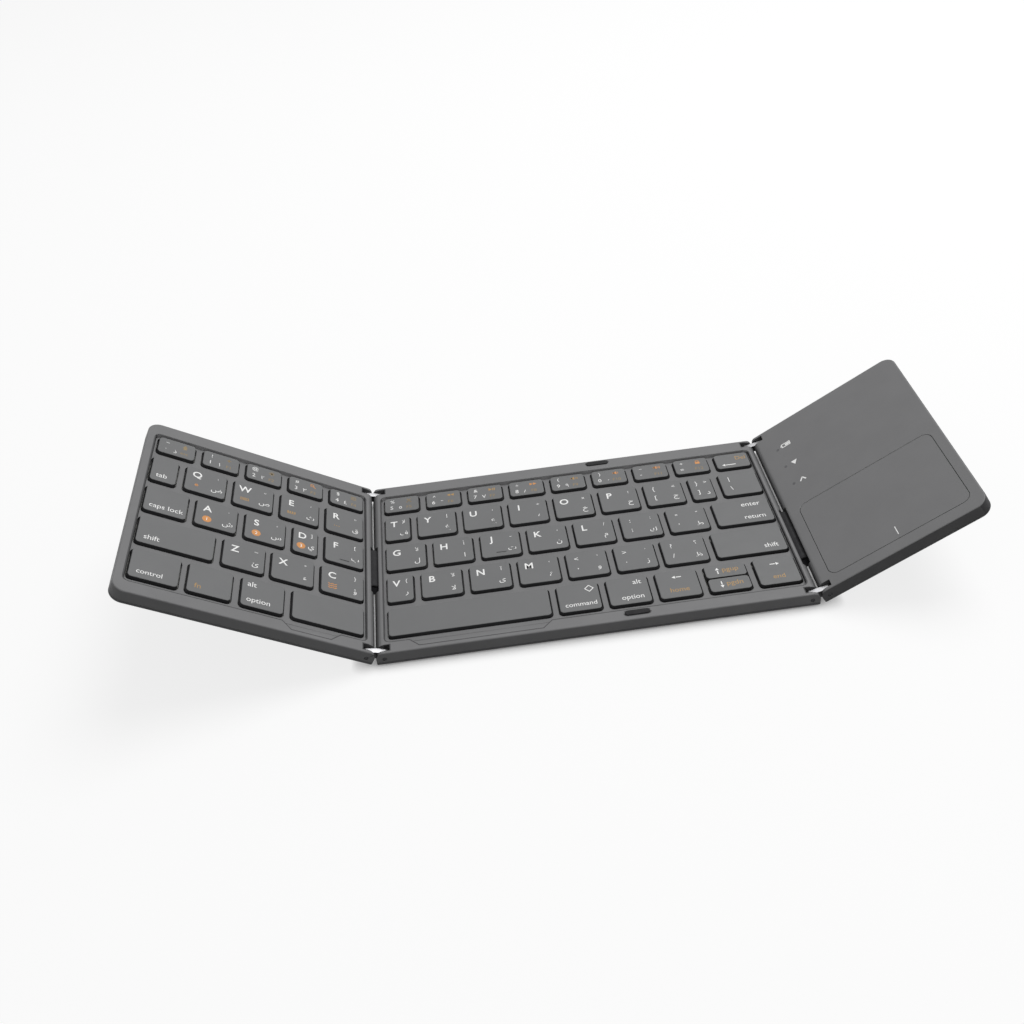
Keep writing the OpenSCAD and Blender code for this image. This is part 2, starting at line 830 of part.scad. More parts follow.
module cable_sleeve(y) {
    wall_x = pocket_x - 0.05;
    color([0.2, 0.2, 0.21]) difference() {
        along_y(y[0], y[1]) polygon([
            fold_base(wall_x, sleeve_low), fold_mid(sleeve_low), fold_wing(wall_x, sleeve_low),
            fold_wing(wall_x, sleeve_high), fold_mid(sleeve_high),
            fold_base(wall_x, sleeve_high)]);
        along_y(y[0] - 1, ribbon_y(y)[1] + 0.2) polygon(fold_band(0, 0, sleeve_bore));
    }
}

module ribbon_cable(y, wing_x) {
    r = ribbon_y(y);
    color("black") along_y(r[0], r[1]) polygon(fold_band(ribbon_tuck, wing_x, ribbon_t));
}

// ---- nodes ----

base_bottom_case();
base_top_cover();
on_base() key_plate(base_plate);  // base_key_plate
on_base() dome_sheet(inset(base_plate), base_keys);  // base_dome_sheet
on_base() scissors(base_keys);  // base_scissors
on_base() feet(concat(base_foot_places, centre_foot));  // base_feet
on_base() screws(base_screw_x);  // base_screws
on_base() bumpers();  // base_bumpers
left_bottom_case();
left_top_cover();
on_left_wing() key_plate(left_plate);  // left_key_plate
on_left_wing() dome_sheet(inset(left_plate), left_keys);  // left_dome_sheet
on_left_wing() scissors(left_keys);  // left_scissors
on_left_wing() feet(left_foot_places);  // left_feet
on_left_wing() screws(left_screw_x);  // left_screws
right_bottom_case();
right_top_cover();
battery();
controller_board();
charging_socket();
indicator_lenses();
click_switch();
on_right_wing() feet(right_foot_places);  // right_feet
on_right_wing() screws(right_screw_x);  // right_screws
touchpad_plate();
touch_sensor_board();
on_left_link() links();  // left_links
on_left_link() hinge_pins();  // left_hinge_pins
mirror([1, 0, 0]) cable_sleeve(left_sleeve);  // left_cable_sleeve
mirror([1, 0, 0]) ribbon_cable(left_sleeve, ribbon_tuck);  // left_ribbon_cable
on_right_link() links();  // right_links
on_right_link() hinge_pins();  // right_hinge_pins
cable_sleeve(right_sleeve);  // right_cable_sleeve
ribbon_cable(right_sleeve, connector_x[0] - 0.05);  // right_ribbon_cable
on_left_wing() key_set(k_left_numbers);  // keys_left_numbers
on_left_wing() key_set(k_qwer);  // keys_qwer
on_left_wing() key_set(k_asdf);  // keys_asdf
on_left_wing() key_set(k_zxc);  // keys_zxc
on_left_wing() key_set(k_tab);  // key_tab
on_left_wing() key_set(k_caps_lock);  // key_caps_lock
on_left_wing() key_set(k_shift_left);  // key_shift_left
on_left_wing() key_set(k_control);  // key_control
on_left_wing() key_set(k_fn);  // key_fn
on_left_wing() key_set(k_option_left);  // key_option_left
on_left_wing() key_set(k_space_left);  // key_space_left
on_base() key_set(k_numbers);  // keys_numbers
on_base() key_set(k_upper);  // keys_upper_letters
on_base() key_set(k_home);  // keys_home_letters
on_base() key_set(k_lower);  // keys_lower_letters
on_base() key_set(k_backspace);  // key_backspace
on_base() key_set(k_backslash);  // key_backslash
on_base() key_set(k_enter);  // key_enter
on_base() key_set(k_shift_right);  // key_shift_right
on_base() key_set(k_space_right);  // key_space_right
on_base() key_set(k_command);  // key_command
on_base() key_set(k_option_right);  // key_option_right
on_base() key_set(k_arrow_left);  // key_arrow_left
on_base() key_set(k_arrow_up);  // key_arrow_up
on_base() key_set(k_arrow_down);  // key_arrow_down
on_base() key_set(k_arrow_right);  // key_arrow_right
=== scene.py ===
import json
import math
import bmesh
import bpy
from mathutils import Matrix, Vector

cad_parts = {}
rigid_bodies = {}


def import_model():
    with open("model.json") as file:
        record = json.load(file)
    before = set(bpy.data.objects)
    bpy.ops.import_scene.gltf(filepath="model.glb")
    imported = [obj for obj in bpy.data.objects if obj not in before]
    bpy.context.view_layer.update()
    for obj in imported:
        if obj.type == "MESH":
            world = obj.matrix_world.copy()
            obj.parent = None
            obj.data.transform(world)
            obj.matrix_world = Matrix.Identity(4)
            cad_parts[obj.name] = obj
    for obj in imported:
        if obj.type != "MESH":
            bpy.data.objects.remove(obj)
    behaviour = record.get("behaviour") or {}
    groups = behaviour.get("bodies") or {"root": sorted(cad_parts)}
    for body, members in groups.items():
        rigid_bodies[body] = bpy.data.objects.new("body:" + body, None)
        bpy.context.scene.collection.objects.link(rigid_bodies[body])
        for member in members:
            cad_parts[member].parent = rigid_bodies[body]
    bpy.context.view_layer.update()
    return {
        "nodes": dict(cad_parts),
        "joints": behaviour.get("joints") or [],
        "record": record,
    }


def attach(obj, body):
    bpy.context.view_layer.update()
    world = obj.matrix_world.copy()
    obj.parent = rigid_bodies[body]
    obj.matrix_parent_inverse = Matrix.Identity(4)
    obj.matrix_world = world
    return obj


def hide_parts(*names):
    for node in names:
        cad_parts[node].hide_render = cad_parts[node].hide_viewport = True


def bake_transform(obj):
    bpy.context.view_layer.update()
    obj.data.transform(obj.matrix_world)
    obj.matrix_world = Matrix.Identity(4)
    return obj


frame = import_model()
nodes = frame["nodes"]
joints = {joint["name"]: joint for joint in frame["joints"]}
bodyOf = {node: body for body, members in frame["record"]["behaviour"]["bodies"].items() for node in members}
slotOf = {part["node"]: part["material_slot"] for part in frame["record"]["subparts"]}
mm = 0.001
print("frame loaded:", len(nodes), "nodes")


# panels: each has its own x to the right, y to the rear and z out of the deck, from the hinge pins' height

def panelFrame(panel):
    if panel == "base":
        return Matrix.Translation((0, 0, joints["left_base_hinge"]["pos_m"][2]))
    hinge = joints[panel + "_wing_hinge"]
    lift = -2 * math.radians(hinge["range_deg"][0])  # the wing hinge is half of the fold
    return Matrix.Translation(hinge["pos_m"]) @ Matrix.Rotation(lift, 4, Vector(hinge["axis"]))


panels = {panel: panelFrame(panel) for panel in ("base", "left", "right")}

foldPlaces = {}
for side in ("left", "right"):
    basePin = Matrix.Translation(joints[side + "_base_hinge"]["pos_m"])
    half = Matrix.Rotation(-math.radians(joints[side + "_base_hinge"]["range_deg"][0]), 4,
                           Vector(joints[side + "_base_hinge"]["axis"]))
    wingPin = Vector(joints[side + "_wing_hinge"]["pos_m"])
    out = 1 if side == "right" else -1
    reach = (wingPin - Vector(joints[side + "_base_hinge"]["pos_m"])).length
    foldPlaces[side] = {
        "base": basePin,
        "link": basePin @ half @ Matrix.Translation((out * reach / 2, 0, 0)),
        "wing": panels[side],
        "out": out,
    }


# camera

photoCamera = {
    "place": (-38.55, -339.3, 307.2),  # mm
    "yaw": 2.96,
    "pitch": 39.71,
    "roll": -5.68,
    "lens": 39.75,
    "sensor": 36,
    "pixels": 1024,  # the photograph's width and height
    "centre": (524.7, 509.7),  # where the lens axis meets the photograph, in its pixels
}


def makeCamera():
    values = photoCamera
    data = bpy.data.cameras.new("photoCamera")
    data.lens = values["lens"]
    data.sensor_width = values["sensor"]
    data.clip_start = 0.01
    middle = values["pixels"] / 2
    data.shift_x = (middle - values["centre"][0]) / values["pixels"]
    data.shift_y = (values["centre"][1] - middle) / values["pixels"]
    camera = bpy.data.objects.new("photoCamera", data)
    bpy.context.scene.collection.objects.link(camera)
    turn = Matrix.Rotation(-math.radians(values["yaw"]), 4, "Z")
    tip = Matrix.Rotation(math.radians(90 - values["pitch"]), 4, "X")
    roll = Matrix.Rotation(math.radians(values["roll"]), 4, "Z")
    camera.matrix_world = Matrix.Translation(Vector(values["place"]) * mm) @ turn @ tip @ roll
    bpy.context.scene.camera = camera


makeCamera()
print("camera placed")


# materials

def newMaterial(name):
    material = bpy.data.materials.new(name)
    material.use_nodes = True
    tree = material.node_tree
    shader = tree.nodes["Principled BSDF"]
    place = tree.nodes.new("ShaderNodeTexCoord")
    return material, tree, shader, place.outputs["Object"]


def noiseNode(tree, place, size, detail=3.0, stretch=None):
    if stretch:
        mapping = tree.nodes.new("ShaderNodeMapping")
        mapping.inputs["Scale"].default_value = stretch
        tree.links.new(place, mapping.inputs["Vector"])
        place = mapping.outputs["Vector"]
    noise = tree.nodes.new("ShaderNodeTexNoise")
    noise.inputs["Scale"].default_value = 1 / (size * mm)
    noise.inputs["Detail"].default_value = detail
    tree.links.new(place, noise.inputs["Vector"])
    return noise.outputs["Fac"]


def spread(tree, factor, low, high, socket):
    ramp = tree.nodes.new("ShaderNodeMapRange")
    ramp.inputs["From Min"].default_value = 0.3
    ramp.inputs["From Max"].default_value = 0.7
    ramp.inputs["To Min"].default_value = low
    ramp.inputs["To Max"].default_value = high
    tree.links.new(factor, ramp.inputs["Value"])
    tree.links.new(ramp.outputs["Result"], socket)


def tinted(tree, factor, colour, swing, socket):
    ramp = tree.nodes.new("ShaderNodeValToRGB")
    ramp.color_ramp.elements[0].position = 0.3
    ramp.color_ramp.elements[1].position = 0.7
    for element, level in zip(ramp.color_ramp.elements, (1 - swing, 1 + swing)):
        element.color = (*[min(1, channel * level) for channel in colour], 1)
    tree.links.new(factor, ramp.inputs["Fac"])
    tree.links.new(ramp.outputs["Color"], socket)


def bumped(tree, shader, factor, depth, strength=1.0):
    bump = tree.nodes.new("ShaderNodeBump")
    bump.inputs["Strength"].default_value = strength
    bump.inputs["Distance"].default_value = depth * mm
    tree.links.new(factor, bump.inputs["Height"])
    tree.links.new(bump.outputs["Normal"], shader.inputs["Normal"])


def mouldedPlastic(name, colour, roughness, grain=0.35, depth=0.006, swing=0.03, shine=0.2):
    material, tree, shader, place = newMaterial(name)
    blotch = noiseNode(tree, place, 14, 4)
    tinted(tree, blotch, colour, swing, shader.inputs["Base Color"])
    spread(tree, noiseNode(tree, place, 5, 3), roughness - 0.05, roughness + 0.05, shader.inputs["Roughness"])
    bumped(tree, shader, noiseNode(tree, place, grain, 2), depth)
    shader.inputs["Specular IOR Level"].default_value = shine
    return material


def rubber(name, colour):
    material, tree, shader, place = newMaterial(name)
    tinted(tree, noiseNode(tree, place, 3, 4), colour, 0.12, shader.inputs["Base Color"])
    spread(tree, noiseNode(tree, place, 1.2, 3), 0.6, 0.8, shader.inputs["Roughness"])
    bumped(tree, shader, noiseNode(tree, place, 0.25, 3), 0.012)
    shader.inputs["Specular IOR Level"].default_value = 0.15
    return material


def brushedMetal(name, colour, roughness, along):
    material, tree, shader, place = newMaterial(name)
    stretch = [0.06 if axis == along else 1.0 for axis in "xyz"]
    scratch = noiseNode(tree, place, 0.12, 4, stretch)
    tinted(tree, scratch, colour, 0.08, shader.inputs["Base Color"])
    spread(tree, scratch, roughness - 0.06, roughness + 0.08, shader.inputs["Roughness"])
    bumped(tree, shader, scratch, 0.002, 0.6)
    shader.inputs["Metallic"].default_value = 1
    return material


def printInk(name, colour):
    material, tree, shader, place = newMaterial(name)
    tinted(tree, noiseNode(tree, place, 0.5, 3), colour, 0.05, shader.inputs["Base Color"])
    spread(tree, noiseNode(tree, place, 0.3, 2), 0.45, 0.6, shader.inputs["Roughness"])
    return material


def circuitBoard(name):
    material, tree, shader, place = newMaterial(name)
    cells = tree.nodes.new("ShaderNodeTexVoronoi")
    cells.feature = "DISTANCE_TO_EDGE"
    cells.distance = "CHEBYCHEV"
    cells.inputs["Scale"].default_value = 1 / (2.2 * mm)
    tree.links.new(place, cells.inputs["Vector"])
    track = tree.nodes.new("ShaderNodeValToRGB")
    track.color_ramp.interpolation = "CONSTANT"
    track.color_ramp.elements[0].color = (0.06, 0.2, 0.1, 1)
    track.color_ramp.elements[1].color = (0.02, 0.11, 0.05, 1)
    track.color_ramp.elements[1].position = 0.08
    tree.links.new(cells.outputs["Distance"], track.inputs["Fac"])
    tree.links.new(track.outputs["Color"], shader.inputs["Base Color"])
    shader.inputs["Roughness"].default_value = 0.35
    bumped(tree, shader, cells.outputs["Distance"], 0.02, 0.5)
    return material


def foilWrap(name):
    material, tree, shader, place = newMaterial(name)
    crease = noiseNode(tree, place, 6, 6)
    tinted(tree, crease, (0.62, 0.63, 0.65), 0.1, shader.inputs["Base Color"])
    spread(tree, crease, 0.28, 0.42, shader.inputs["Roughness"])
    bumped(tree, shader, crease, 0.08)
    shader.inputs["Metallic"].default_value = 0.9
    return material


deckGrey = (0.19, 0.19, 0.193)
looks = {
    "deck_plastic": mouldedPlastic("deckPlastic", deckGrey, 0.55),
    "case_plastic": mouldedPlastic("casePlastic", (0.12, 0.12, 0.123), 0.58),
    "key_plastic": mouldedPlastic("keyPlastic", (0.168, 0.17, 0.172), 0.5, 0.3, 0.004, 0.02),
    "link_steel": brushedMetal("linkSteel", (0.44, 0.44, 0.45), 0.45, "x"),
    "pin_steel": brushedMetal("pinSteel", (0.035, 0.035, 0.037), 0.45, "y"),
    "plate_steel": brushedMetal("plateSteel", (0.5, 0.5, 0.51), 0.4, "y"),
    "dome_rubber": rubber("domeRubber", (0.4, 0.4, 0.38)),
    "scissor_plastic": mouldedPlastic("scissorPlastic", (0.75, 0.75, 0.72), 0.4),
    "black_rubber": rubber("blackRubber", (0.022, 0.022, 0.023)),
    "sleeve_rubber": rubber("sleeveRubber", (0.034, 0.034, 0.036)),
    "ribbon_film": mouldedPlastic("ribbonFilm", (0.008, 0.008, 0.009), 0.8, shine=0.05),
    "screw_steel": brushedMetal("screwSteel", (0.16, 0.16, 0.17), 0.4, "x"),
    "battery_foil": foilWrap("batteryFoil"),
    "circuit_board": circuitBoard("circuitBoard"),
    "socket_steel": brushedMetal("socketSteel", (0.6, 0.6, 0.61), 0.3, "y"),
    "lamp_lens": mouldedPlastic("lampLens", (0.125, 0.125, 0.13), 0.3),
    "whitePrint": printInk("whitePrint", (0.88, 0.88, 0.87)),
    "orangePrint": printInk("orangePrint", (0.62, 0.26, 0.07)),
    "amberPrint": printInk("amberPrint", (0.4, 0.235, 0.075)),
    "dimPrint": printInk("dimPrint", (0.27, 0.19, 0.085)),
    # painted shade: a darker plastic for the keys' side walls, as if they stood in shadow
    "keySidePaintedShade": mouldedPlastic("keySidePaintedShade", (0.034, 0.034, 0.036), 0.65, 0.3, 0.004),
    # painted shade: near black for the walls of the key openings and the floors of the link slots
    "recessPaintedShade": mouldedPlastic("recessPaintedShade", (0.035, 0.035, 0.037), 0.65),
    # painted shade: a little darker, for the hinge rounding where it first turns away
    "paintedShadeSoft": mouldedPlastic("paintedShadeSoft", (0.15, 0.15, 0.153), 0.58),
    # painted shade: mid grey for the upper inner walls, the slot walls, the right wing's sides and the hinge
    # rounding
    "paintedShadeMid": mouldedPlastic("paintedShadeMid", (0.095, 0.095, 0.097), 0.6),
    # painted shade: darker, for the right wing's sides that face right and the hinge rounding further round
    "paintedShadeDeep": mouldedPlastic("paintedShadeDeep", (0.055, 0.055, 0.057), 0.6),
    # painted shade: darkest, for the hinge rounding furthest round and the painted shadow on the floor beside
    # the left wing's field edge
    "paintedShadeDarkest": mouldedPlastic("paintedShadeDarkest", (0.032, 0.032, 0.033), 0.6),
    # painted light: a much lighter plastic for inner walls that face the front, as if they caught the light
    "rearWallPaintedLight": mouldedPlastic("rearWallPaintedLight", (0.42, 0.42, 0.425), 0.6),
    # painted shadow: a dark line laid along the edges of the key fields
    "fieldShadowLine": mouldedPlastic("fieldShadowLine", (0.07, 0.07, 0.072), 0.6),
    # painted shade: near black steel for the link plates' side faces
    "linkSidePaintedShade": brushedMetal("linkSidePaintedShade", (0.05, 0.05, 0.052), 0.5, "y"),
}

for name, node in nodes.items():
    for materialSlot in node.material_slots:
        materialSlot.material = looks[slotOf[name]]
print("materials made")


# making pieces

def newShape():
    return bmesh.new()


def addPiece(name, shape, materials, body, replaced=(), slot=None, smoothAngle=35):
    mesh = bpy.data.meshes.new(name)
    shape.to_mesh(mesh)
    shape.free()
    for material in materials:
        mesh.materials.append(looks[material])
    mesh.polygons.foreach_set("use_smooth", [True] * len(mesh.polygons))
    mesh.set_sharp_from_angle(angle=math.radians(smoothAngle))
    piece = bpy.data.objects.new(name, mesh)
    bpy.context.scene.collection.objects.link(piece)
    if body:
        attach(piece, body)
    if replaced:
        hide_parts(*replaced)
    slot or materials[0]
    evenShade = piece.modifiers.new("evenShade", "WEIGHTED_NORMAL")  # keeps wide flat faces evenly lit
    evenShade.keep_sharp = True
    evenShade.weight = 80
    return piece


# in the photograph the key wing's outer field edge stands a little nearer to its keys than in the CAD part
fieldEdge = {"left": -90.5, "front": -43.4, "rear": 42.3, "corner": 2.2, "floor": 1.7, "deck": 3.1,
             "inwards": 1.1, "shadow": 0.6}
shadowEnd = (fieldEdge["left"] + fieldEdge["inwards"] + fieldEdge["shadow"]) * mm  # end of the dark strip of floor beside the field edge, painted shadow


def moveFieldEdge(shape):
    values = fieldEdge
    bmesh.ops.transform(shape, matrix=panels["left"].inverted(), verts=shape.verts)
    shape.normal_update()
    moved, floor = [], []
    for vert in shape.verts:
        x, y, z = [value / mm for value in vert.co]
        centreX = values["left"] + values["corner"]
        centreY = min(max(y, values["front"] + values["corner"]), values["rear"] - values["corner"])
        onEdge = abs(math.hypot(x - centreX, y - centreY) - values["corner"]) < 0.05
        if onEdge and x < centreX + 0.01 and values["floor"] - 0.03 < z < values["deck"] + 0.03:
            moved.append(vert)
    for face in shape.faces:
        if face.normal.z > 0.99 and abs(face.calc_center_median().z - values["floor"] * mm) < 0.02 * mm:
            floor += [face, *face.edges, *face.verts]
    bmesh.ops.translate(shape, vec=(values["inwards"] * mm, 0, 0), verts=moved)
    # this cut bounds the strip of floor that is painted dark as shadow
    bmesh.ops.bisect_plane(shape, geom=list(set(floor)), dist=0.01 * mm, plane_co=(shadowEnd, 0, 0),
                           plane_no=(1, 0, 0))
    bmesh.ops.transform(shape, matrix=panels["left"], verts=shape.verts)


def mergedCopy(node):
    shape = newShape()
    shape.from_mesh(nodes[node].data)
    bmesh.ops.remove_doubles(shape, verts=shape.verts, dist=0.001 * mm)
    bmesh.ops.dissolve_limit(shape, angle_limit=math.radians(0.4), verts=shape.verts, edges=shape.edges,
                             use_dissolve_boundaries=False)
    if node == "left_top_cover":
        moveFieldEdge(shape)
    return shape


def softenEdges(shape, width, segments=2, sharper=50):
    edges = [edge for edge in shape.edges
             if edge.is_manifold and edge.calc_face_angle(0) > math.radians(sharper)]
    bmesh.ops.bevel(shape, geom=edges, offset=width * mm, offset_type="OFFSET", segments=segments,
                    profile=0.5, affect="EDGES", clamp_overlap=False, material=-1)


# sizes for the painted shade and light on the panels
shades = {
    "outline": 4.0,  # walls this near the panel's outline that face outwards are its sides
    "roll": 3.1,  # radius of the rounded hinge edges, which is also the height of the deck
    "turns": ((20, "paintedShadeSoft"), (34, "paintedShadeMid"), (47, "paintedShadeDeep"), (60, "paintedShadeDarkest")),  # painted shade on the hinge rounding, darker past each of these degrees round them
    "shadowLineWidth": 0.3,  # the fine dark line of painted shadow along the key fields and scoops
    "sideShadowLineWidth": 0.45,  # where it runs to the front or the rear
    "wellTop": 2.0,  # walls below this height are those of the key openings
}
panelPaintedLightAndShade = ["recessPaintedShade", "paintedShadeSoft", "paintedShadeMid", "paintedShadeDeep", "paintedShadeDarkest", "rearWallPaintedLight"]
panelIndex = {name: number for number, name in enumerate(panelPaintedLightAndShade, 1)}  # 0 is the panel's own plastic


def panelSpans(shape, toPanel):
    places = [toPanel @ vert.co for vert in shape.verts]
    return [(min(place[axis] for place in places), max(place[axis] for place in places)) for axis in (0, 1)]


def facesOutwards(centre, normal, spans):
    for axis, (low, high) in enumerate(spans):
        if centre[axis] - low < shades["outline"] * mm and normal[axis] < -0.1:
            return True
        if high - centre[axis] < shades["outline"] * mm and normal[axis] > 0.1:
            return True
    return False


# paints shade and light onto a panel: each face takes a darker or lighter copy of the plastic by where it
# stands
def shadePanel(shape, panel):
    toPanel = panels[panel].inverted()
    turn = toPanel.to_3x3()
    folds = {"base": (foldPlaces["left"]["base"], foldPlaces["right"]["base"])}.get(panel, (panels[panel],))
    pins = [(toPanel @ fold.translation).x for fold in folds]
    spans = panelSpans(shape, toPanel)
    shape.normal_update()
    for face in shape.faces:
        centre, normal = toPanel @ face.calc_center_median(), turn @ face.normal
        isWall, isOuter = abs(normal.z) < 0.6, facesOutwards(centre, normal, spans)
        # painted shade and light on the inner walls: near black in the key openings, darker grey higher up,
        # lighter where a wall faces the front
        if isWall and not isOuter:
            # walls facing the front are painted light, the others painted shade
            upper = "rearWallPaintedLight" if normal.y < -0.7 else "paintedShadeMid"
            face.material_index = panelIndex["recessPaintedShade" if centre.z < shades["wellTop"] * mm else upper]
        # painted shadow: the strip of floor beside the left wing's field edge
        if panel == "left" and abs(centre.z - fieldEdge["floor"] * mm) < 0.02 * mm and normal.z > 0.99:
            if centre.x < shadowEnd:
                face.material_index = panelIndex["paintedShadeDarkest"]
        # painted shade: the right wing's outer sides are drawn darker, darkest where they face right
        if panel == "right" and isWall and isOuter:
            face.material_index = panelIndex["paintedShadeDeep" if normal.x > 0.3 else "paintedShadeMid"]
        # painted shade on the rounded hinge edges: the further a face turns round the pin, the darker its
        # plastic; the slot walls and floors inside the rounding are painted dark too
        for pin in pins:
            outward = 1 if (pin > 0 if panel == "base" else panel == "left") else -1
            past = (centre.x - pin) * outward
            radius = math.hypot(centre.x - pin, centre.z)
            if past < 0 or radius > (shades["roll"] + 0.1) * mm:
                continue
            if radius < (shades["roll"] - 0.12) * mm:
                isSlotWall = abs(normal.y) > 0.7  # and the rest are the slots' floors
                face.material_index = panelIndex["paintedShadeMid" if isSlotWall else "recessPaintedShade"]
                continue
            lean = math.degrees(math.atan2(past, abs(centre.z)))
            for turned, material in shades["turns"]:
                if lean > turned:
                    face.material_index = panelIndex[material]


def fieldEdges(shape):  # where a wall goes down from the deck, apart from the panel's own sides
    spans = panelSpans(shape, Matrix.Identity(4))
    for edge in shape.edges:
        if not edge.is_manifold or edge.calc_face_angle(0) < math.radians(50):
            continue
        wall, deck = sorted([face.normal for face in edge.link_faces], key=lambda normal: abs(normal.z))
        middle = (edge.verts[0].co + edge.verts[1].co) / 2
        atDeck = all(abs(vert.co.z - shades["roll"] * mm) < 0.02 * mm for vert in edge.verts)
        if atDeck and deck.z > 0.98 and abs(wall.z) < 0.6 and not facesOutwards(middle, wall, spans):
            yield edge, Vector((-wall.x, -wall.y, 0)).normalized()


# lays a thin dark strip on the deck along the field edges, a painted shadow line
def addFieldLine(node):
    panel = node.split("_")[0]
    cover, paintedStrip = mergedCopy(node), newShape()
    bmesh.ops.transform(cover, matrix=panels[panel].inverted(), verts=cover.verts)
    cover.normal_update()
    ways, pairs = {}, []
    for edge, away in fieldEdges(cover):
        wide = shades["sideShadowLineWidth"] if abs(away.x) > 0.5 else shades["shadowLineWidth"]
        pairs.append(list(edge.verts))
        for vert in edge.verts:
            ways.setdefault(vert, []).append((away, wide * mm))
    starts = {vert: paintedStrip.verts.new(vert.co + Vector((0, 0, 0.004 * mm))) for vert in ways}
    edges = [paintedStrip.edges.new([starts[vert] for vert in pair]) for pair in pairs]
    bmesh.ops.extrude_edge_only(paintedStrip, edges=edges)
    kept = set(starts.values())
    for vert, start in starts.items():
        total = sum((away for away, wide in ways[vert]), Vector((0, 0, 0)))
        wide = sum(wide for away, wide in ways[vert])
        for edge in start.link_edges:
            other = edge.other_vert(start)
            if other not in kept:
                other.co += total * wide / total.length_squared
    cover.free()
    paintedStrip.normal_update()
    bmesh.ops.reverse_faces(paintedStrip, faces=[face for face in paintedStrip.faces if face.normal.z < 0])
    bmesh.ops.transform(paintedStrip, matrix=panels[panel], verts=paintedStrip.verts)
    addPiece(panel + "_field_shadow_line", paintedStrip, ["fieldShadowLine"], bodyOf[node], slot="deck_plastic")


def shadeLinks(shape, side):
    turn = foldPlaces[side]["link"].to_3x3().inverted()
    shape.normal_update()
    for face in shape.faces:
        # side faces of the link plates take the darker steel, painted shade
        if abs((turn @ face.normal).z) < 0.7:
            face.material_index = 1


def softenedNode(node, width, segments=2, sharper=50):
    shape = mergedCopy(node)
    materials = [slotOf[node]]
    if node.endswith(("_top_cover", "_bottom_case")):
        panel = node.split("_")[0]
        shadePanel(shape, panel)
        materials += panelPaintedLightAndShade
    softenEdges(shape, width, segments, sharper)
    if node.endswith("_links"):
        shadeLinks(shape, node.split("_")[0])
        materials.append("linkSidePaintedShade")
    return addPiece(node + "_soft", shape, materials, bodyOf[node], [node])


softEdges = {
    "base_top_cover": 0.14,
    "left_top_cover": 0.14,
    "right_top_cover": 0.12,
    "touchpad_plate": 0.06,
    "base_bottom_case": 0.12,
    "left_bottom_case": 0.12,
    "right_bottom_case": 0.12,
    "base_bumpers": 0.3,
    "base_feet": 0.25,
    "left_feet": 0.25,
    "right_feet": 0.25,
    "left_links": 0.25,
    "right_links": 0.25,
    "left_hinge_pins": 0.12,
    "right_hinge_pins": 0.12,
}
for node, width in softEdges.items():
    softenedNode(node, width)
for node in ("base_top_cover", "left_top_cover"):
    addFieldLine(node)
print("covers, feet and links softened")


# keys

capForm = {
    "corner": 1.45,
    "rim": 0.28,
    "wall": 0.8,
    "ceiling": 0.9,
    "stem": 1.2,
    "stemUp": 0.15,  # how far the stem ends above the cap's lower edge
    "flare": 0.32,
    "closeFlare": 0.1,
}
closeKeys = ("key_arrow_up", "key_arrow_down", "key_shift_right", "key_arrow_right")  # near another piece
keyNodes = [node for node in nodes if node.startswith("key")]
keyNodes = [node for node in keyNodes if slotOf[node] == "key_plastic"]


def panelOf(node):
    parents = {joint["child"]: joint["parent"] for joint in frame["joints"]}
    return {"base": "base", "left_wing": "left", "right_wing": "right"}[parents[bodyOf[node]]]


def islandsOf(shape):
    left, found = set(shape.verts), []
    while left:
        todo, island = [left.pop()], []
        while todo:
            vert = todo.pop()
            island.append(vert)
            for edge in vert.link_edges:
                other = edge.other_vert(vert)
                if other in left:
                    left.remove(other)
                    todo.append(other)
        found.append(island)
    return found


def keyBoxes(node):
    shape = mergedCopy(node)
    bmesh.ops.transform(shape, matrix=panels[panelOf(node)].inverted(), verts=shape.verts)
    boxes = []
    for island in islandsOf(shape):
        low = Vector([min(vert.co[axis] for vert in island) for axis in range(3)])
        high = Vector([max(vert.co[axis] for vert in island) for axis in range(3)])
        boxes.append((low, high))
    shape.free()
    return sorted(boxes, key=lambda box: box[0].x)


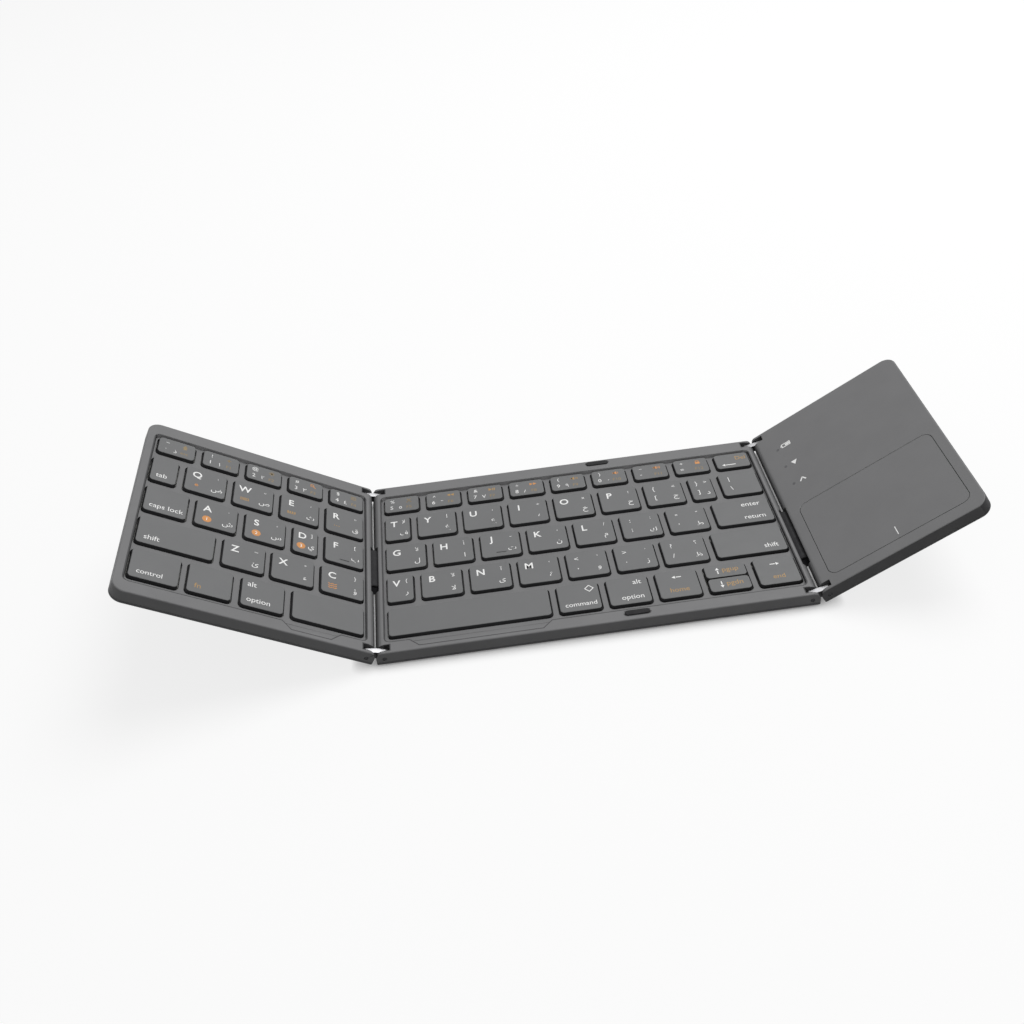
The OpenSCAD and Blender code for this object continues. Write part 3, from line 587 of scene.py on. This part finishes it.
def addCap(shape, low, high, flare):
    cap = newShape()
    size, centre = high - low, (high + low) / 2
    bmesh.ops.create_cube(cap, size=1, matrix=Matrix.Translation(centre) @ Matrix.Diagonal((*size, 1)))
    uprights = [edge for edge in cap.edges if abs(edge.verts[0].co.z - edge.verts[1].co.z) > size.z / 2]
    bmesh.ops.bevel(cap, geom=uprights, offset=capForm["corner"] * mm, offset_type="OFFSET", segments=7,
                    profile=0.5, affect="EDGES", clamp_overlap=True, material=-1)
    cap.faces.ensure_lookup_table()
    top = max(cap.faces, key=lambda face: face.calc_center_median().z)
    bottom = min(cap.faces, key=lambda face: face.calc_center_median().z)
    wider = [(length + 2 * flare * mm) / length for length in (size.x, size.y)]
    bmesh.ops.scale(cap, vec=(*wider, 1), space=Matrix.Translation(-centre), verts=bottom.verts)
    bmesh.ops.inset_region(cap, faces=[bottom], thickness=capForm["wall"] * mm, depth=0)
    hollow = bmesh.ops.extrude_discrete_faces(cap, faces=[bottom])["faces"][0]
    bmesh.ops.translate(cap, verts=hollow.verts, vec=(0, 0, size.z - capForm["ceiling"] * mm))
    bmesh.ops.bevel(cap, geom=list(top.edges), offset=capForm["rim"] * mm, offset_type="OFFSET", segments=3,
                    profile=0.5, affect="EDGES", clamp_overlap=True, material=-1)
    stemHigh = size.z - (capForm["ceiling"] + capForm["stemUp"]) * mm
    stemPlace = Matrix.Translation((centre.x, centre.y, low.z + capForm["stemUp"] * mm + stemHigh / 2))
    bmesh.ops.create_cone(cap, cap_ends=True, segments=20, radius1=capForm["stem"] * mm,
                          radius2=capForm["stem"] * mm, depth=stemHigh, matrix=stemPlace)
    cap.normal_update()
    # side faces take the second plastic, painted shade on the key's side walls
    for face in cap.faces:
        face.material_index = 1 if face.normal.z < 0.5 else 0
    mesh = bpy.data.meshes.new("cap")
    cap.to_mesh(mesh)
    cap.free()
    shape.from_mesh(mesh)
    bpy.data.meshes.remove(mesh)


boxesOf = {node: keyBoxes(node) for node in keyNodes}
for node in keyNodes:
    shape = newShape()
    for low, high in boxesOf[node]:
        addCap(shape, low, high, capForm["closeFlare" if node in closeKeys else "flare"])
    bmesh.ops.transform(shape, matrix=panels[panelOf(node)], verts=shape.verts)
    addPiece(node + "_caps", shape, ["key_plastic", "keySidePaintedShade"], bodyOf[node], [node])
print("keys made:", sum(len(boxes) for boxes in boxesOf.values()))


# legends

legend = {
    "proud": 0.012,
    "bold": 0.016,
    "letter": 4.7,
    "second": 3.5,
    "mark": 2.6,
    "word": 3.4,
    "digit": 3.0,
    "caption": 2.5,
    "sign": 3.3,
    "wordLift": 2.4,
    "upperDown": 4.35,
    "letterIn": 4.2,
    "letterDown": 4.5,
    "rightIn": 3.4,
    "secondUp": 3.7,
    "markDown": 3.6,
    "narrow": 12,  # on keys narrower than this the legends stand nearer to the edges
    "letterNearer": 0.6,
    "signNearer": 0.9,
    "signIn": 3.9,
    "signDown": 4.2,
    "signUp": 4.6,
    "badgeIn": 4.4,
    "badgeNarrowIn": 3.2,
    "badgeUp": 4.0,
    "disc": 1.75,
    "discDigit": 2.3,
}
prints = {}


def textShape(text, size, bold):
    curve = bpy.data.curves.new("legend", "FONT")
    curve.body = text
    curve.size = size * mm
    curve.resolution_u = 4
    curve.extrude = legend["proud"] * mm
    curve.offset = bold * size * mm
    holder = bpy.data.objects.new("legend", curve)
    bpy.context.scene.collection.objects.link(holder)
    graph = bpy.context.evaluated_depsgraph_get()
    mesh = bpy.data.meshes.new_from_object(holder.evaluated_get(graph))
    bpy.data.objects.remove(holder)
    bpy.data.curves.remove(curve)
    shape = newShape()
    shape.from_mesh(mesh)
    bpy.data.meshes.remove(mesh)
    bmesh.ops.remove_doubles(shape, verts=shape.verts, dist=0.0005 * mm)
    return shape


def printOn(node, shape, x, y, z, ink, anchor="centre", baseline=False, turn=0):
    if turn:
        bmesh.ops.rotate(shape, verts=shape.verts, matrix=Matrix.Rotation(math.radians(turn), 3, "Z"))
    xs = [vert.co.x for vert in shape.verts]
    ys = [vert.co.y for vert in shape.verts]
    shiftX = {"left": -min(xs), "centre": -(min(xs) + max(xs)) / 2, "right": -max(xs)}[anchor]
    shiftY = 0 if baseline else -(min(ys) + max(ys)) / 2
    place = panels[panelOf(node)] @ Matrix.Translation((x + shiftX, y + shiftY, z))
    bmesh.ops.transform(shape, matrix=place, verts=shape.verts)
    mesh = bpy.data.meshes.new("print")
    shape.to_mesh(mesh)
    shape.free()
    prints.setdefault((node, ink), newShape()).from_mesh(mesh)
    bpy.data.meshes.remove(mesh)


def printText(node, text, size, x, y, z, ink="whitePrint", bold=0.0, **options):
    printOn(node, textShape(text, size, bold), x, y, z, ink, **options)


def isNarrow(box):
    low, high = box
    return high.x - low.x < legend["narrow"] * mm


def rightSigns(node, box, second, mark):
    low, high = box
    right = (legend["rightIn"] - (legend["signNearer"] if isNarrow(box) else 0)) * mm
    if second:
        printText(node, second, legend["second"], high.x - right, low.y + legend["secondUp"] * mm, high.z)
    if mark:
        printText(node, mark, legend["mark"], high.x - right, high.y - legend["markDown"] * mm, high.z)


def letterKey(node, box, letter, second="", mark="", orange=""):
    low, high = box
    inset = (legend["letterIn"] - (legend["letterNearer"] if isNarrow(box) else 0)) * mm
    printText(node, letter, legend["letter"], low.x + inset, high.y - legend["letterDown"] * mm, high.z,
              bold=legend["bold"])
    rightSigns(node, box, second, mark)
    if orange:
        inset = legend["badgeNarrowIn" if isNarrow(box) else "badgeIn"] * mm
        badge(node, orange, low.x + inset, low.y + legend["badgeUp"] * mm, high.z)


def signKey(node, box, upper, lower, second="", mark=""):
    low, high = box
    inset = (legend["signIn"] - (legend["signNearer"] if isNarrow(box) else 0)) * mm
    printText(node, upper, legend["sign"], low.x + inset, high.y - legend["signDown"] * mm, high.z)
    printText(node, lower, legend["sign"], low.x + inset, low.y + legend["signUp"] * mm, high.z)
    rightSigns(node, box, second, mark)


# mm from the key's left edge, and from its rear edge for the upper two or its front edge for the others
numberForm = {
    "upperSize": 2.7,
    "upper": (3.3, 2.6),
    "icon": (10.2, 2.7),
    "digit": (2.9, 2.8),
    "second": (6.6, 2.6),
    "caption": (10.2, 2.5),
}


def numberKey(node, box, texts, icon, ink, caption):
    low, high = box
    upper, digit, second = texts

    def spot(part):
        inwards, along = numberForm[part]
        y = high.y - along * mm if part in ("upper", "icon") else low.y + along * mm
        return low.x + inwards * mm, y, high.z

    printText(node, upper, numberForm["upperSize"], *spot("upper"))
    printText(node, digit, legend["digit"], *spot("digit"))
    if second != " ":
        printText(node, second, legend["digit"], *spot("second"))
    printOn(node, iconShape(icon), *spot("icon"), ink)
    printText(node, caption, legend["caption"], *spot("caption"), "dimPrint")


def wordKey(node, word, inset, side="left", size=None, up=None, ink="whitePrint"):
    low, high = boxesOf[node][0]
    x = low.x + inset * mm if side == "left" else high.x - inset * mm
    y = low.y + (up or legend["wordLift"]) * mm
    printText(node, word, size or legend["word"], x, y, high.z, ink, anchor=side, baseline=True)


def upperWord(node, word, inset, side="left", size=None):
    low, high = boxesOf[node][0]
    wordKey(node, word, inset, side, size, (high.y - low.y) / mm - legend["upperDown"])


def bar(shape, x, y, z, long, wide, turn=0):
    place = Matrix.Translation((x * mm, y * mm, z * mm)) @ Matrix.Rotation(math.radians(turn), 4, "Z")
    size = (long * mm, wide * mm, 2 * legend["proud"] * mm, 1)
    bmesh.ops.create_cube(shape, size=1, matrix=place @ Matrix.Diagonal(size))


# wedges are x, y, radius and turn from pointing left, bars are x, y, length, width and turn
icons = {
    "home": {"wedges": [(0, 0.75, 1.1, -90)], "bars": [(0, -0.45, 1.3, 1.1)]},
    "dim": {"bars": [(0, 0, 0.8, 0.8), (0, 0, 2.0, 0.22), (0, 0, 0.22, 2.0)]},
    "bright": {"bars": [(0, 0, 1, 1), *[(0, 0, 2.5, 0.24, turn) for turn in (0, 45, 90, 135)]]},
    "search": {"bars": [(-0.3, 0.85, 1.3, 0.3), (-0.3, -0.35, 1.3, 0.3), (-0.9, 0.25, 0.3, 1.3),
                        (0.3, 0.25, 0.3, 1.3), (0.75, -0.8, 1.2, 0.34, -45)]},
    "list": {"bars": [(0, 0.85, 2.4, 0.36), (0, 0, 2.4, 0.36), (0, -0.85, 2.4, 0.36)]},
    "cut": {"bars": [(0, 0, 2.7, 0.3, 55), (0, 0, 2.7, 0.3, -55), (-0.75, -1.05, 0.7, 0.5),
                     (0.75, -1.05, 0.7, 0.5)]},
    "back": {"wedges": [(-0.7, 0, 0.95, 0), (0.85, 0, 0.95, 0)]},
    "play": {"wedges": [(-0.7, 0, 1.0, 180)], "bars": [(0.65, 0, 0.4, 1.6), (1.35, 0, 0.4, 1.6)]},
    "next": {"wedges": [(-0.85, 0, 0.95, 180), (0.7, 0, 0.95, 180)]},
    "mute": {"wedges": [(-0.55, 0, 1.1, 0)],
             "bars": [(-1.25, 0, 0.8, 0.8), (1, 0, 1.3, 0.3, 45), (1, 0, 1.3, 0.3, -45)]},
    "quiet": {"wedges": [(-0.3, 0, 1.1, 0)], "bars": [(-1, 0, 0.8, 0.8), (0.8, 0, 0.3, 1.0)]},
    "loud": {"wedges": [(-0.55, 0, 1.1, 0)],
             "bars": [(-1.25, 0, 0.8, 0.8), (0.55, 0, 0.3, 1.0), (1.15, 0, 0.3, 1.6)]},
    "lock": {"bars": [(0, -0.4, 2.0, 1.3), (-0.6, 0.6, 0.3, 0.9), (0.6, 0.6, 0.3, 0.9), (0, 1.05, 1.5, 0.3)]},
}


def iconShape(kind):
    shape = newShape()
    for x, y, radius, turn in icons[kind].get("wedges", ()):
        place = Matrix.Translation((x * mm, y * mm, 0)) @ Matrix.Rotation(math.radians(90 + turn), 4, "Z")
        bmesh.ops.create_cone(shape, cap_ends=True, segments=3, radius1=radius * mm, radius2=radius * mm,
                              depth=2 * legend["proud"] * mm, matrix=place)
    for x, y, *form in icons[kind].get("bars", ()):
        bar(shape, x, y, 0, *form)
    return shape


# bars as in the icons, for the small signs in the lower left corner of the letter keys
badges = {
    "q": [(0, 0, 1.5, 0.35, turn) for turn in (0, 60, 120)],
    "w": [(0, -0.6, 3.4, 0.3), (-1.55, 0, 0.3, 1.2), (0, 0.6, 3.4, 0.3), (1.55, 0, 0.3, 1.2), (0, 0, 2.0, 0.3)],
    "e": [*[(step * 0.95 - 1.4, 0, 0.55, 1.1 - 0.15 * (step % 2)) for step in range(4)], (0, -0.85, 3.4, 0.25)],
    "r": [(step - 1.0, 0, 0.4, 0.4) for step in range(3)],
    "c": [(step * 0.85 - 1.28, row * 1.05 - 1.05, 1.05, 0.34, 38 if step % 2 else -38)
          for row in range(3) for step in range(4)],
}


def badge(node, kind, x, y, z):
    shape = newShape()
    for barX, barY, *form in badges.get(kind, ()):
        bar(shape, barX, barY, 0, *form)
    if kind not in badges:  # a numbered disc
        bmesh.ops.create_cone(shape, cap_ends=True, segments=32, radius1=legend["disc"] * mm,
                              radius2=legend["disc"] * mm, depth=2 * legend["proud"] * mm)
        printText(node, kind, legend["discDigit"], x, y, z + legend["proud"] * mm)
    printOn(node, shape, x, y, z, "amberPrint" if kind in "wer" else "orangePrint")


letterRows = {
    "keys_qwer": ["Qض'q", "Wص''w", "Eث,e", "Rق,,r"],
    "keys_asdf": ["Aش.1", "Sس,2", "Dي]3", "Fب["],
    "keys_zxc": ["Zئ~", "Xء°", "Cؤ}c"],
}
for node, row in letterRows.items():
    for box, text in zip(boxesOf[node], row):
        letter, second, rest = text[0], text[1], text[2:]
        orange = rest[-1] if rest[-1] in "qwerc123" else ""
        letterKey(node, box, letter, second, rest[:-1] if orange else rest, orange)

upperRow = ["Tفﻹ", "Yغإ", "Uع'", "Iه÷", "Oخ×", "Pح؛"]
for box, text in zip(boxesOf["keys_upper_letters"], upperRow):
    letterKey("keys_upper_letters", box, text[0], text[1], text[2])
signKey("keys_upper_letters", boxesOf["keys_upper_letters"][6], "{", "[", "ج", "<")
signKey("keys_upper_letters", boxesOf["keys_upper_letters"][7], "}", "]", "د", ">")
homeRow = ["Gلﻷ", "Hاأ", "Jتـ", "Kن،", "Lم/"]
for box, text in zip(boxesOf["keys_home_letters"], homeRow):
    letterKey("keys_home_letters", box, text[0], text[1], text[2])
signKey("keys_home_letters", boxesOf["keys_home_letters"][5], ":", ";", "ك", ":")
signKey("keys_home_letters", boxesOf["keys_home_letters"][6], "\"", "'", "ط", "\"")
lowerRow = ["Vر{", "Bﻻﻵ", "Nىآ", "Mة'"]
for box, text in zip(boxesOf["keys_lower_letters"], lowerRow):
    letterKey("keys_lower_letters", box, text[0], text[1], text[2])
signKey("keys_lower_letters", boxesOf["keys_lower_letters"][4], "<", ",", "و", ",")
signKey("keys_lower_letters", boxesOf["keys_lower_letters"][5], ">", ".", "ز", ".")
signKey("keys_lower_letters", boxesOf["keys_lower_letters"][6], "?", "/", "ظ", "؟")
signKey("key_backslash", boxesOf["key_backslash"][0], "|", "\\")

leftNumbers = [("~`ذ", "home"), ("!1١", "dim"), ("@2٢", "bright"), ("#3٣", "search"), ("$4٤", "list")]
numbers = [("%5٥", "cut"), ("^6٦", "back"), ("&7٧", "play"), ("*8٨", "next"), ("(9٩", "mute"),
           (")0٠", "quiet"), ("_- ", "loud"), ("+= ", "lock")]
iconInks = {  # the other icons are orange
    **dict.fromkeys(("home", "dim", "bright", "list", "cut"), "dimPrint"),
    **dict.fromkeys(("back", "play", "mute"), "amberPrint"),
}
for node, row, captions in (("keys_left_numbers", leftNumbers, ["esc", "F1", "F2", "F3", "F4"]),
                            ("keys_numbers", numbers, ["F" + str(number) for number in range(5, 13)])):
    for box, (text, icon), caption in zip(boxesOf[node], row, captions):
        numberKey(node, box, text, icon, iconInks.get(icon, "orangePrint"), caption)

wordKey("key_tab", "tab", 2.0)
wordKey("key_caps_lock", "caps lock", 2.0)
wordKey("key_shift_left", "shift", 2.6)
wordKey("key_control", "control", 2.6, size=3.1)
wordKey("key_fn", "fn", 2.5, ink="amberPrint")
upperWord("key_option_left", "alt", 1.9, size=3.6)
wordKey("key_option_left", "option", 2.0)
upperWord("key_enter", "enter", 3.4, "right", 3.6)
wordKey("key_enter", "return", 3.1, "right")
wordKey("key_shift_right", "shift", 3.0, "right", up=2.5)
wordKey("key_command", "command", 1.5, "right", 3.1)
upperWord("key_option_right", "alt", 2.4, "right")
wordKey("key_option_right", "option", 2.6, "right", 3.3)

arrow = {
    "shaft": 0.42,
    "head": 0.75,
    "side": 3.5,  # lengths on the side keys, on the half-size keys and on backspace
    "up": 3.3,
    "back": 5.7,
    "down": 3.75,  # from the key's rear edge
    "captionUp": 2.9,
    "caption": 3.3,
    "besideIn": 4.8,  # these four are for the half-size keys, whose caption stands beside the arrow
    "besideCaptionIn": 6.7,
    "besideCaptionDown": 0.7,
    "besideCaption": 3.4,
}


def printArrow(node, long, x, y, z, turn):
    shape = newShape()
    bar(shape, arrow["head"], 0, 0, long - 2 * arrow["head"], arrow["shaft"])
    tipX, tipRadius = -long / 2 * mm + arrow["head"] * mm, arrow["head"] * 1.15 * mm
    tip = Matrix.Translation((tipX, 0, 0)) @ Matrix.Rotation(math.pi / 2, 4, "Z")
    bmesh.ops.create_cone(shape, cap_ends=True, segments=3, radius1=tipRadius, radius2=tipRadius,
                          depth=2 * legend["proud"] * mm, matrix=tip)
    printOn(node, shape, x, y, z, "whitePrint", turn=turn)


def arrowKey(node, turn, caption, beside=False):
    low, high = boxesOf[node][0]
    middle = (low + high) / 2
    if beside:
        printArrow(node, arrow["up"], low.x + arrow["besideIn"] * mm, middle.y, high.z, turn)
        x, y = low.x + arrow["besideCaptionIn"] * mm, middle.y - arrow["besideCaptionDown"] * mm
        printText(node, caption, arrow["besideCaption"], x, y, high.z, "amberPrint", anchor="left",
                  baseline=True)
        return
    printArrow(node, arrow["side"], middle.x, high.y - arrow["down"] * mm, high.z, turn)
    printText(node, caption, arrow["caption"], middle.x, low.y + arrow["captionUp"] * mm, high.z, "amberPrint",
              baseline=True)


arrowKey("key_arrow_left", 0, "home")
arrowKey("key_arrow_right", 180, "end")
arrowKey("key_arrow_up", -90, "pgup", True)
arrowKey("key_arrow_down", 90, "pgdn", True)
low, high = boxesOf["key_backspace"][0]
printArrow("key_backspace", arrow["back"], low.x + 5.2 * mm, low.y + 2.1 * mm, high.z, 0)
printText("key_backspace", "Del", 3.3, high.x - 1.2 * mm, low.y + 5.0 * mm, high.z, "amberPrint",
          anchor="right", baseline=True)
low, high = boxesOf["key_command"][0]
printText("key_command", "◇", 3.9, high.x - 3.4 * mm, high.y - 3.4 * mm, high.z)

for (node, ink), shape in prints.items():
    addPiece(node + "_" + ink, shape, [ink], bodyOf[node], slot="key_plastic")
print("legends printed:", len(prints))


# ridges on the F and J keys

ridge = {"long": 4.0, "wide": 0.45, "high": 0.3, "up": 2.4}
for node, place in (("keys_asdf", 3), ("keys_home_letters", 2)):
    low, high = boxesOf[node][place]
    shape = newShape()
    where = Vector(((low.x + high.x) / 2, low.y + ridge["up"] * mm, high.z))
    size = (ridge["long"] * mm, ridge["wide"] * mm, ridge["high"] * 2 * mm, 1)
    bmesh.ops.create_cube(shape, size=1, matrix=Matrix.Translation(where) @ Matrix.Diagonal(size))
    softenEdges(shape, 0.18, 3)
    bmesh.ops.transform(shape, matrix=panels[panelOf(node)], verts=shape.verts)
    addPiece(node + "_ridge", shape, ["key_plastic"], bodyOf[node])
print("ridges added")


# touchpad wing: printed signs and the mark on the touchpad

deckTop = 3.1
signs = {"battery": (10.2, 34.2), "triangle": (10.2, 22.0), "caret": (10.2, 10.5), "mark": (32.2, -39.6)}

shape = newShape()
x, y = signs["battery"]
for side in (-1, 1):
    bar(shape, x, y + side * 0.9, deckTop, 4.1, 0.42)
    bar(shape, x + side * 1.85, y, deckTop, 0.42, 1.4)
bar(shape, x + 0.6, y, deckTop, 1.9, 1.0)
bar(shape, x - 2.3, y, deckTop, 0.4, 0.9)
x, y = signs["triangle"]
place = Matrix.Translation((x * mm, y * mm, deckTop * mm)) @ Matrix.Rotation(math.pi, 4, "Z")
bmesh.ops.create_cone(shape, cap_ends=True, segments=3, radius1=1.6 * mm, radius2=1.6 * mm,
                      depth=2 * legend["proud"] * mm, matrix=place)
x, y = signs["caret"]
for side in (-1, 1):
    bar(shape, x + side * 0.6, y, deckTop, 2.3, 0.6, side * -55)
bmesh.ops.transform(shape, matrix=panels["right"], verts=shape.verts)
addPiece("deck_signs", shape, ["whitePrint"], "right_wing", slot="deck_plastic")

shape = newShape()
x, y = signs["mark"]
bar(shape, x, y, deckTop - 0.05, 0.35, 4.2)
bmesh.ops.transform(shape, matrix=panels["right"], verts=shape.verts)
addPiece("touchpad_mark", shape, ["whitePrint"], "touchpad", slot="deck_plastic")
print("touchpad wing signs printed")


# folding cable sleeves and ribbons: each half bends between a panel and the link plates

def bendingBand(name, side, material, inner, low, high, front, rear, corner, steps=6):
    # inner is how far each end reaches into its panel past the pin
    places = foldPlaces[side]
    out = places["out"]
    ends = {"base": Matrix.Translation((-out * inner["base"] * mm, 0, 0)),
            "wing": Matrix.Translation((out * inner[side] * mm, 0, 0))}
    for end in ("base", "wing"):
        first = places["base"] @ ends["base"] if end == "base" else places["link"]
        last = places["link"] if end == "base" else places["wing"] @ ends["wing"]
        shape = newShape()
        loops = []
        for step in range(steps + 1):
            part = step / steps
            place = first.lerp(last, part)
            middle = Matrix.Translation((0, (front + rear) / 2 * mm, (low + high) / 2 * mm))
            size = Matrix.Diagonal((1, (rear - front) * mm, (high - low) * mm, 1))
            section = newShape()
            bmesh.ops.create_grid(section, x_segments=1, y_segments=1, size=0.5,
                                  matrix=Matrix.Rotation(math.pi / 2, 4, "Y"))
            bmesh.ops.transform(section, matrix=middle @ size, verts=section.verts)
            bmesh.ops.bevel(section, geom=list(section.verts), offset=corner * mm, offset_type="OFFSET",
                            segments=4, profile=0.5, affect="VERTICES", clamp_overlap=True, material=-1)
            bmesh.ops.transform(section, matrix=place, verts=section.verts)
            if 0 < step < steps:
                bmesh.ops.delete(section, geom=list(section.faces), context="FACES_ONLY")
            mesh = bpy.data.meshes.new("section")
            section.to_mesh(mesh)
            section.free()
            before = len(shape.edges)
            shape.from_mesh(mesh)
            bpy.data.meshes.remove(mesh)
            shape.edges.ensure_lookup_table()
            loops.append([shape.edges[number] for number in range(before, len(shape.edges))])
        for one, two in zip(loops, loops[1:]):
            bmesh.ops.bridge_loops(shape, edges=one + two)
        bmesh.ops.recalc_face_normals(shape, faces=shape.faces)
        piece = addPiece(name + "_" + end, shape, [material], None)
        if end == "base":
            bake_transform(piece)
        else:
            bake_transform(piece)
        yield piece


sleeves = {"low": -1.6, "high": 1.1, "left": (-10.6, 10.7), "right": (-27.5, 0.8),
           "inner": {"base": -1.35, "left": -1.35, "right": -1.35}}
ribbons = {"thick": 0.2, "lead": 4.1, "wide": 12, "inner": {"base": 1.3, "left": 1.3, "right": 3.95}}
for side in ("left", "right"):
    front, rear = sleeves[side]
    pieces = list(bendingBand(side + "_sleeve", side, "sleeve_rubber", sleeves["inner"], sleeves["low"],
                              sleeves["high"], front, rear, 0.35))
    for piece in pieces:
        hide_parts(side + "_cable_sleeve")
    start = front - ribbons["lead"]
    pieces = list(bendingBand(side + "_ribbon", side, "ribbon_film", ribbons["inner"], -ribbons["thick"] / 2,
                              ribbons["thick"] / 2, start, start + ribbons["wide"], 0.05))
    for piece in pieces:
        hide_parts(side + "_ribbon_cable")
print("cable sleeves made")


# studio

studio = {
    "floorColour": 0.95,
    "bounceColour": 0.15,
    "paleness": 0.8,  # how much of the floor's colour needs no light, so that its shadow stays faint
    "contact": 5,  # mm round the object where the floor keeps its full shadow
    "lampPlace": (0.48, 0.48, 1.32),
    "lampSize": 1.0,
    "lampPower": 15.8,
    "worldStrength": 0.35,
}


def seenDirectly(tree):
    path = tree.nodes.new("ShaderNodeLightPath")
    total = path.outputs["Is Camera Ray"]
    for ray in ("Is Glossy Ray", "Is Transmission Ray"):
        add = tree.nodes.new("ShaderNodeMath")
        add.operation = "ADD"
        add.use_clamp = True
        tree.links.new(total, add.inputs[0])
        tree.links.new(path.outputs[ray], add.inputs[1])
        total = add.outputs[0]
    return total


def switched(tree, seen, low, high):
    shade = tree.nodes.new("ShaderNodeMapRange")
    shade.inputs["To Min"].default_value = low
    shade.inputs["To Max"].default_value = high
    tree.links.new(seen, shade.inputs["Value"])
    return shade.outputs["Result"]


def makeStudio():
    scene = bpy.context.scene
    scene.view_settings.view_transform = "Standard"
    shape = newShape()
    bmesh.ops.create_grid(shape, x_segments=1, y_segments=1, size=3)
    mesh = bpy.data.meshes.new("floor")
    shape.to_mesh(mesh)
    shape.free()
    floor = bpy.data.objects.new("floor", mesh)
    scene.collection.objects.link(floor)
    material, tree, shader, place = newMaterial("floorPaper")
    seen = seenDirectly(tree)
    colour = switched(tree, seen, studio["bounceColour"], studio["floorColour"])
    tree.links.new(colour, shader.inputs["Base Color"])
    shader.inputs["Roughness"].default_value = 1
    shader.inputs["Specular IOR Level"].default_value = 0
    paper = tree.nodes.new("ShaderNodeEmission")
    mix = tree.nodes.new("ShaderNodeMixShader")
    contact = tree.nodes.new("ShaderNodeAmbientOcclusion")
    contact.samples = 3
    contact.inputs["Distance"].default_value = studio["contact"] * mm
    pale = tree.nodes.new("ShaderNodeMath")
    pale.operation = "MULTIPLY"
    tree.links.new(switched(tree, seen, 0, studio["paleness"]), pale.inputs[0])
    tree.links.new(contact.outputs["AO"], pale.inputs[1])
    tree.links.new(pale.outputs[0], mix.inputs["Fac"])
    tree.links.new(shader.outputs["BSDF"], mix.inputs[1])
    tree.links.new(paper.outputs["Emission"], mix.inputs[2])
    tree.links.new(mix.outputs["Shader"], tree.nodes["Material Output"].inputs["Surface"])
    mesh.materials.append(material)

    world = bpy.data.worlds.new("studioWorld")
    world.use_nodes = True
    scene.world = world
    tree = world.node_tree
    background = tree.nodes["Background"]
    background.inputs["Color"].default_value = (1, 1, 1, 1)
    strength = switched(tree, seenDirectly(tree), studio["worldStrength"], 1)
    tree.links.new(strength, background.inputs["Strength"])

    lamp = bpy.data.lights.new("topLamp", "AREA")
    lamp.shape = "DISK"
    lamp.size = studio["lampSize"]
    lamp.energy = studio["lampPower"]
    holder = bpy.data.objects.new("topLamp", lamp)
    scene.collection.objects.link(holder)
    holder.location = studio["lampPlace"]
    holder.rotation_euler = (-Vector(studio["lampPlace"])).to_track_quat("-Z", "Y").to_euler()


makeStudio()
print("studio made")
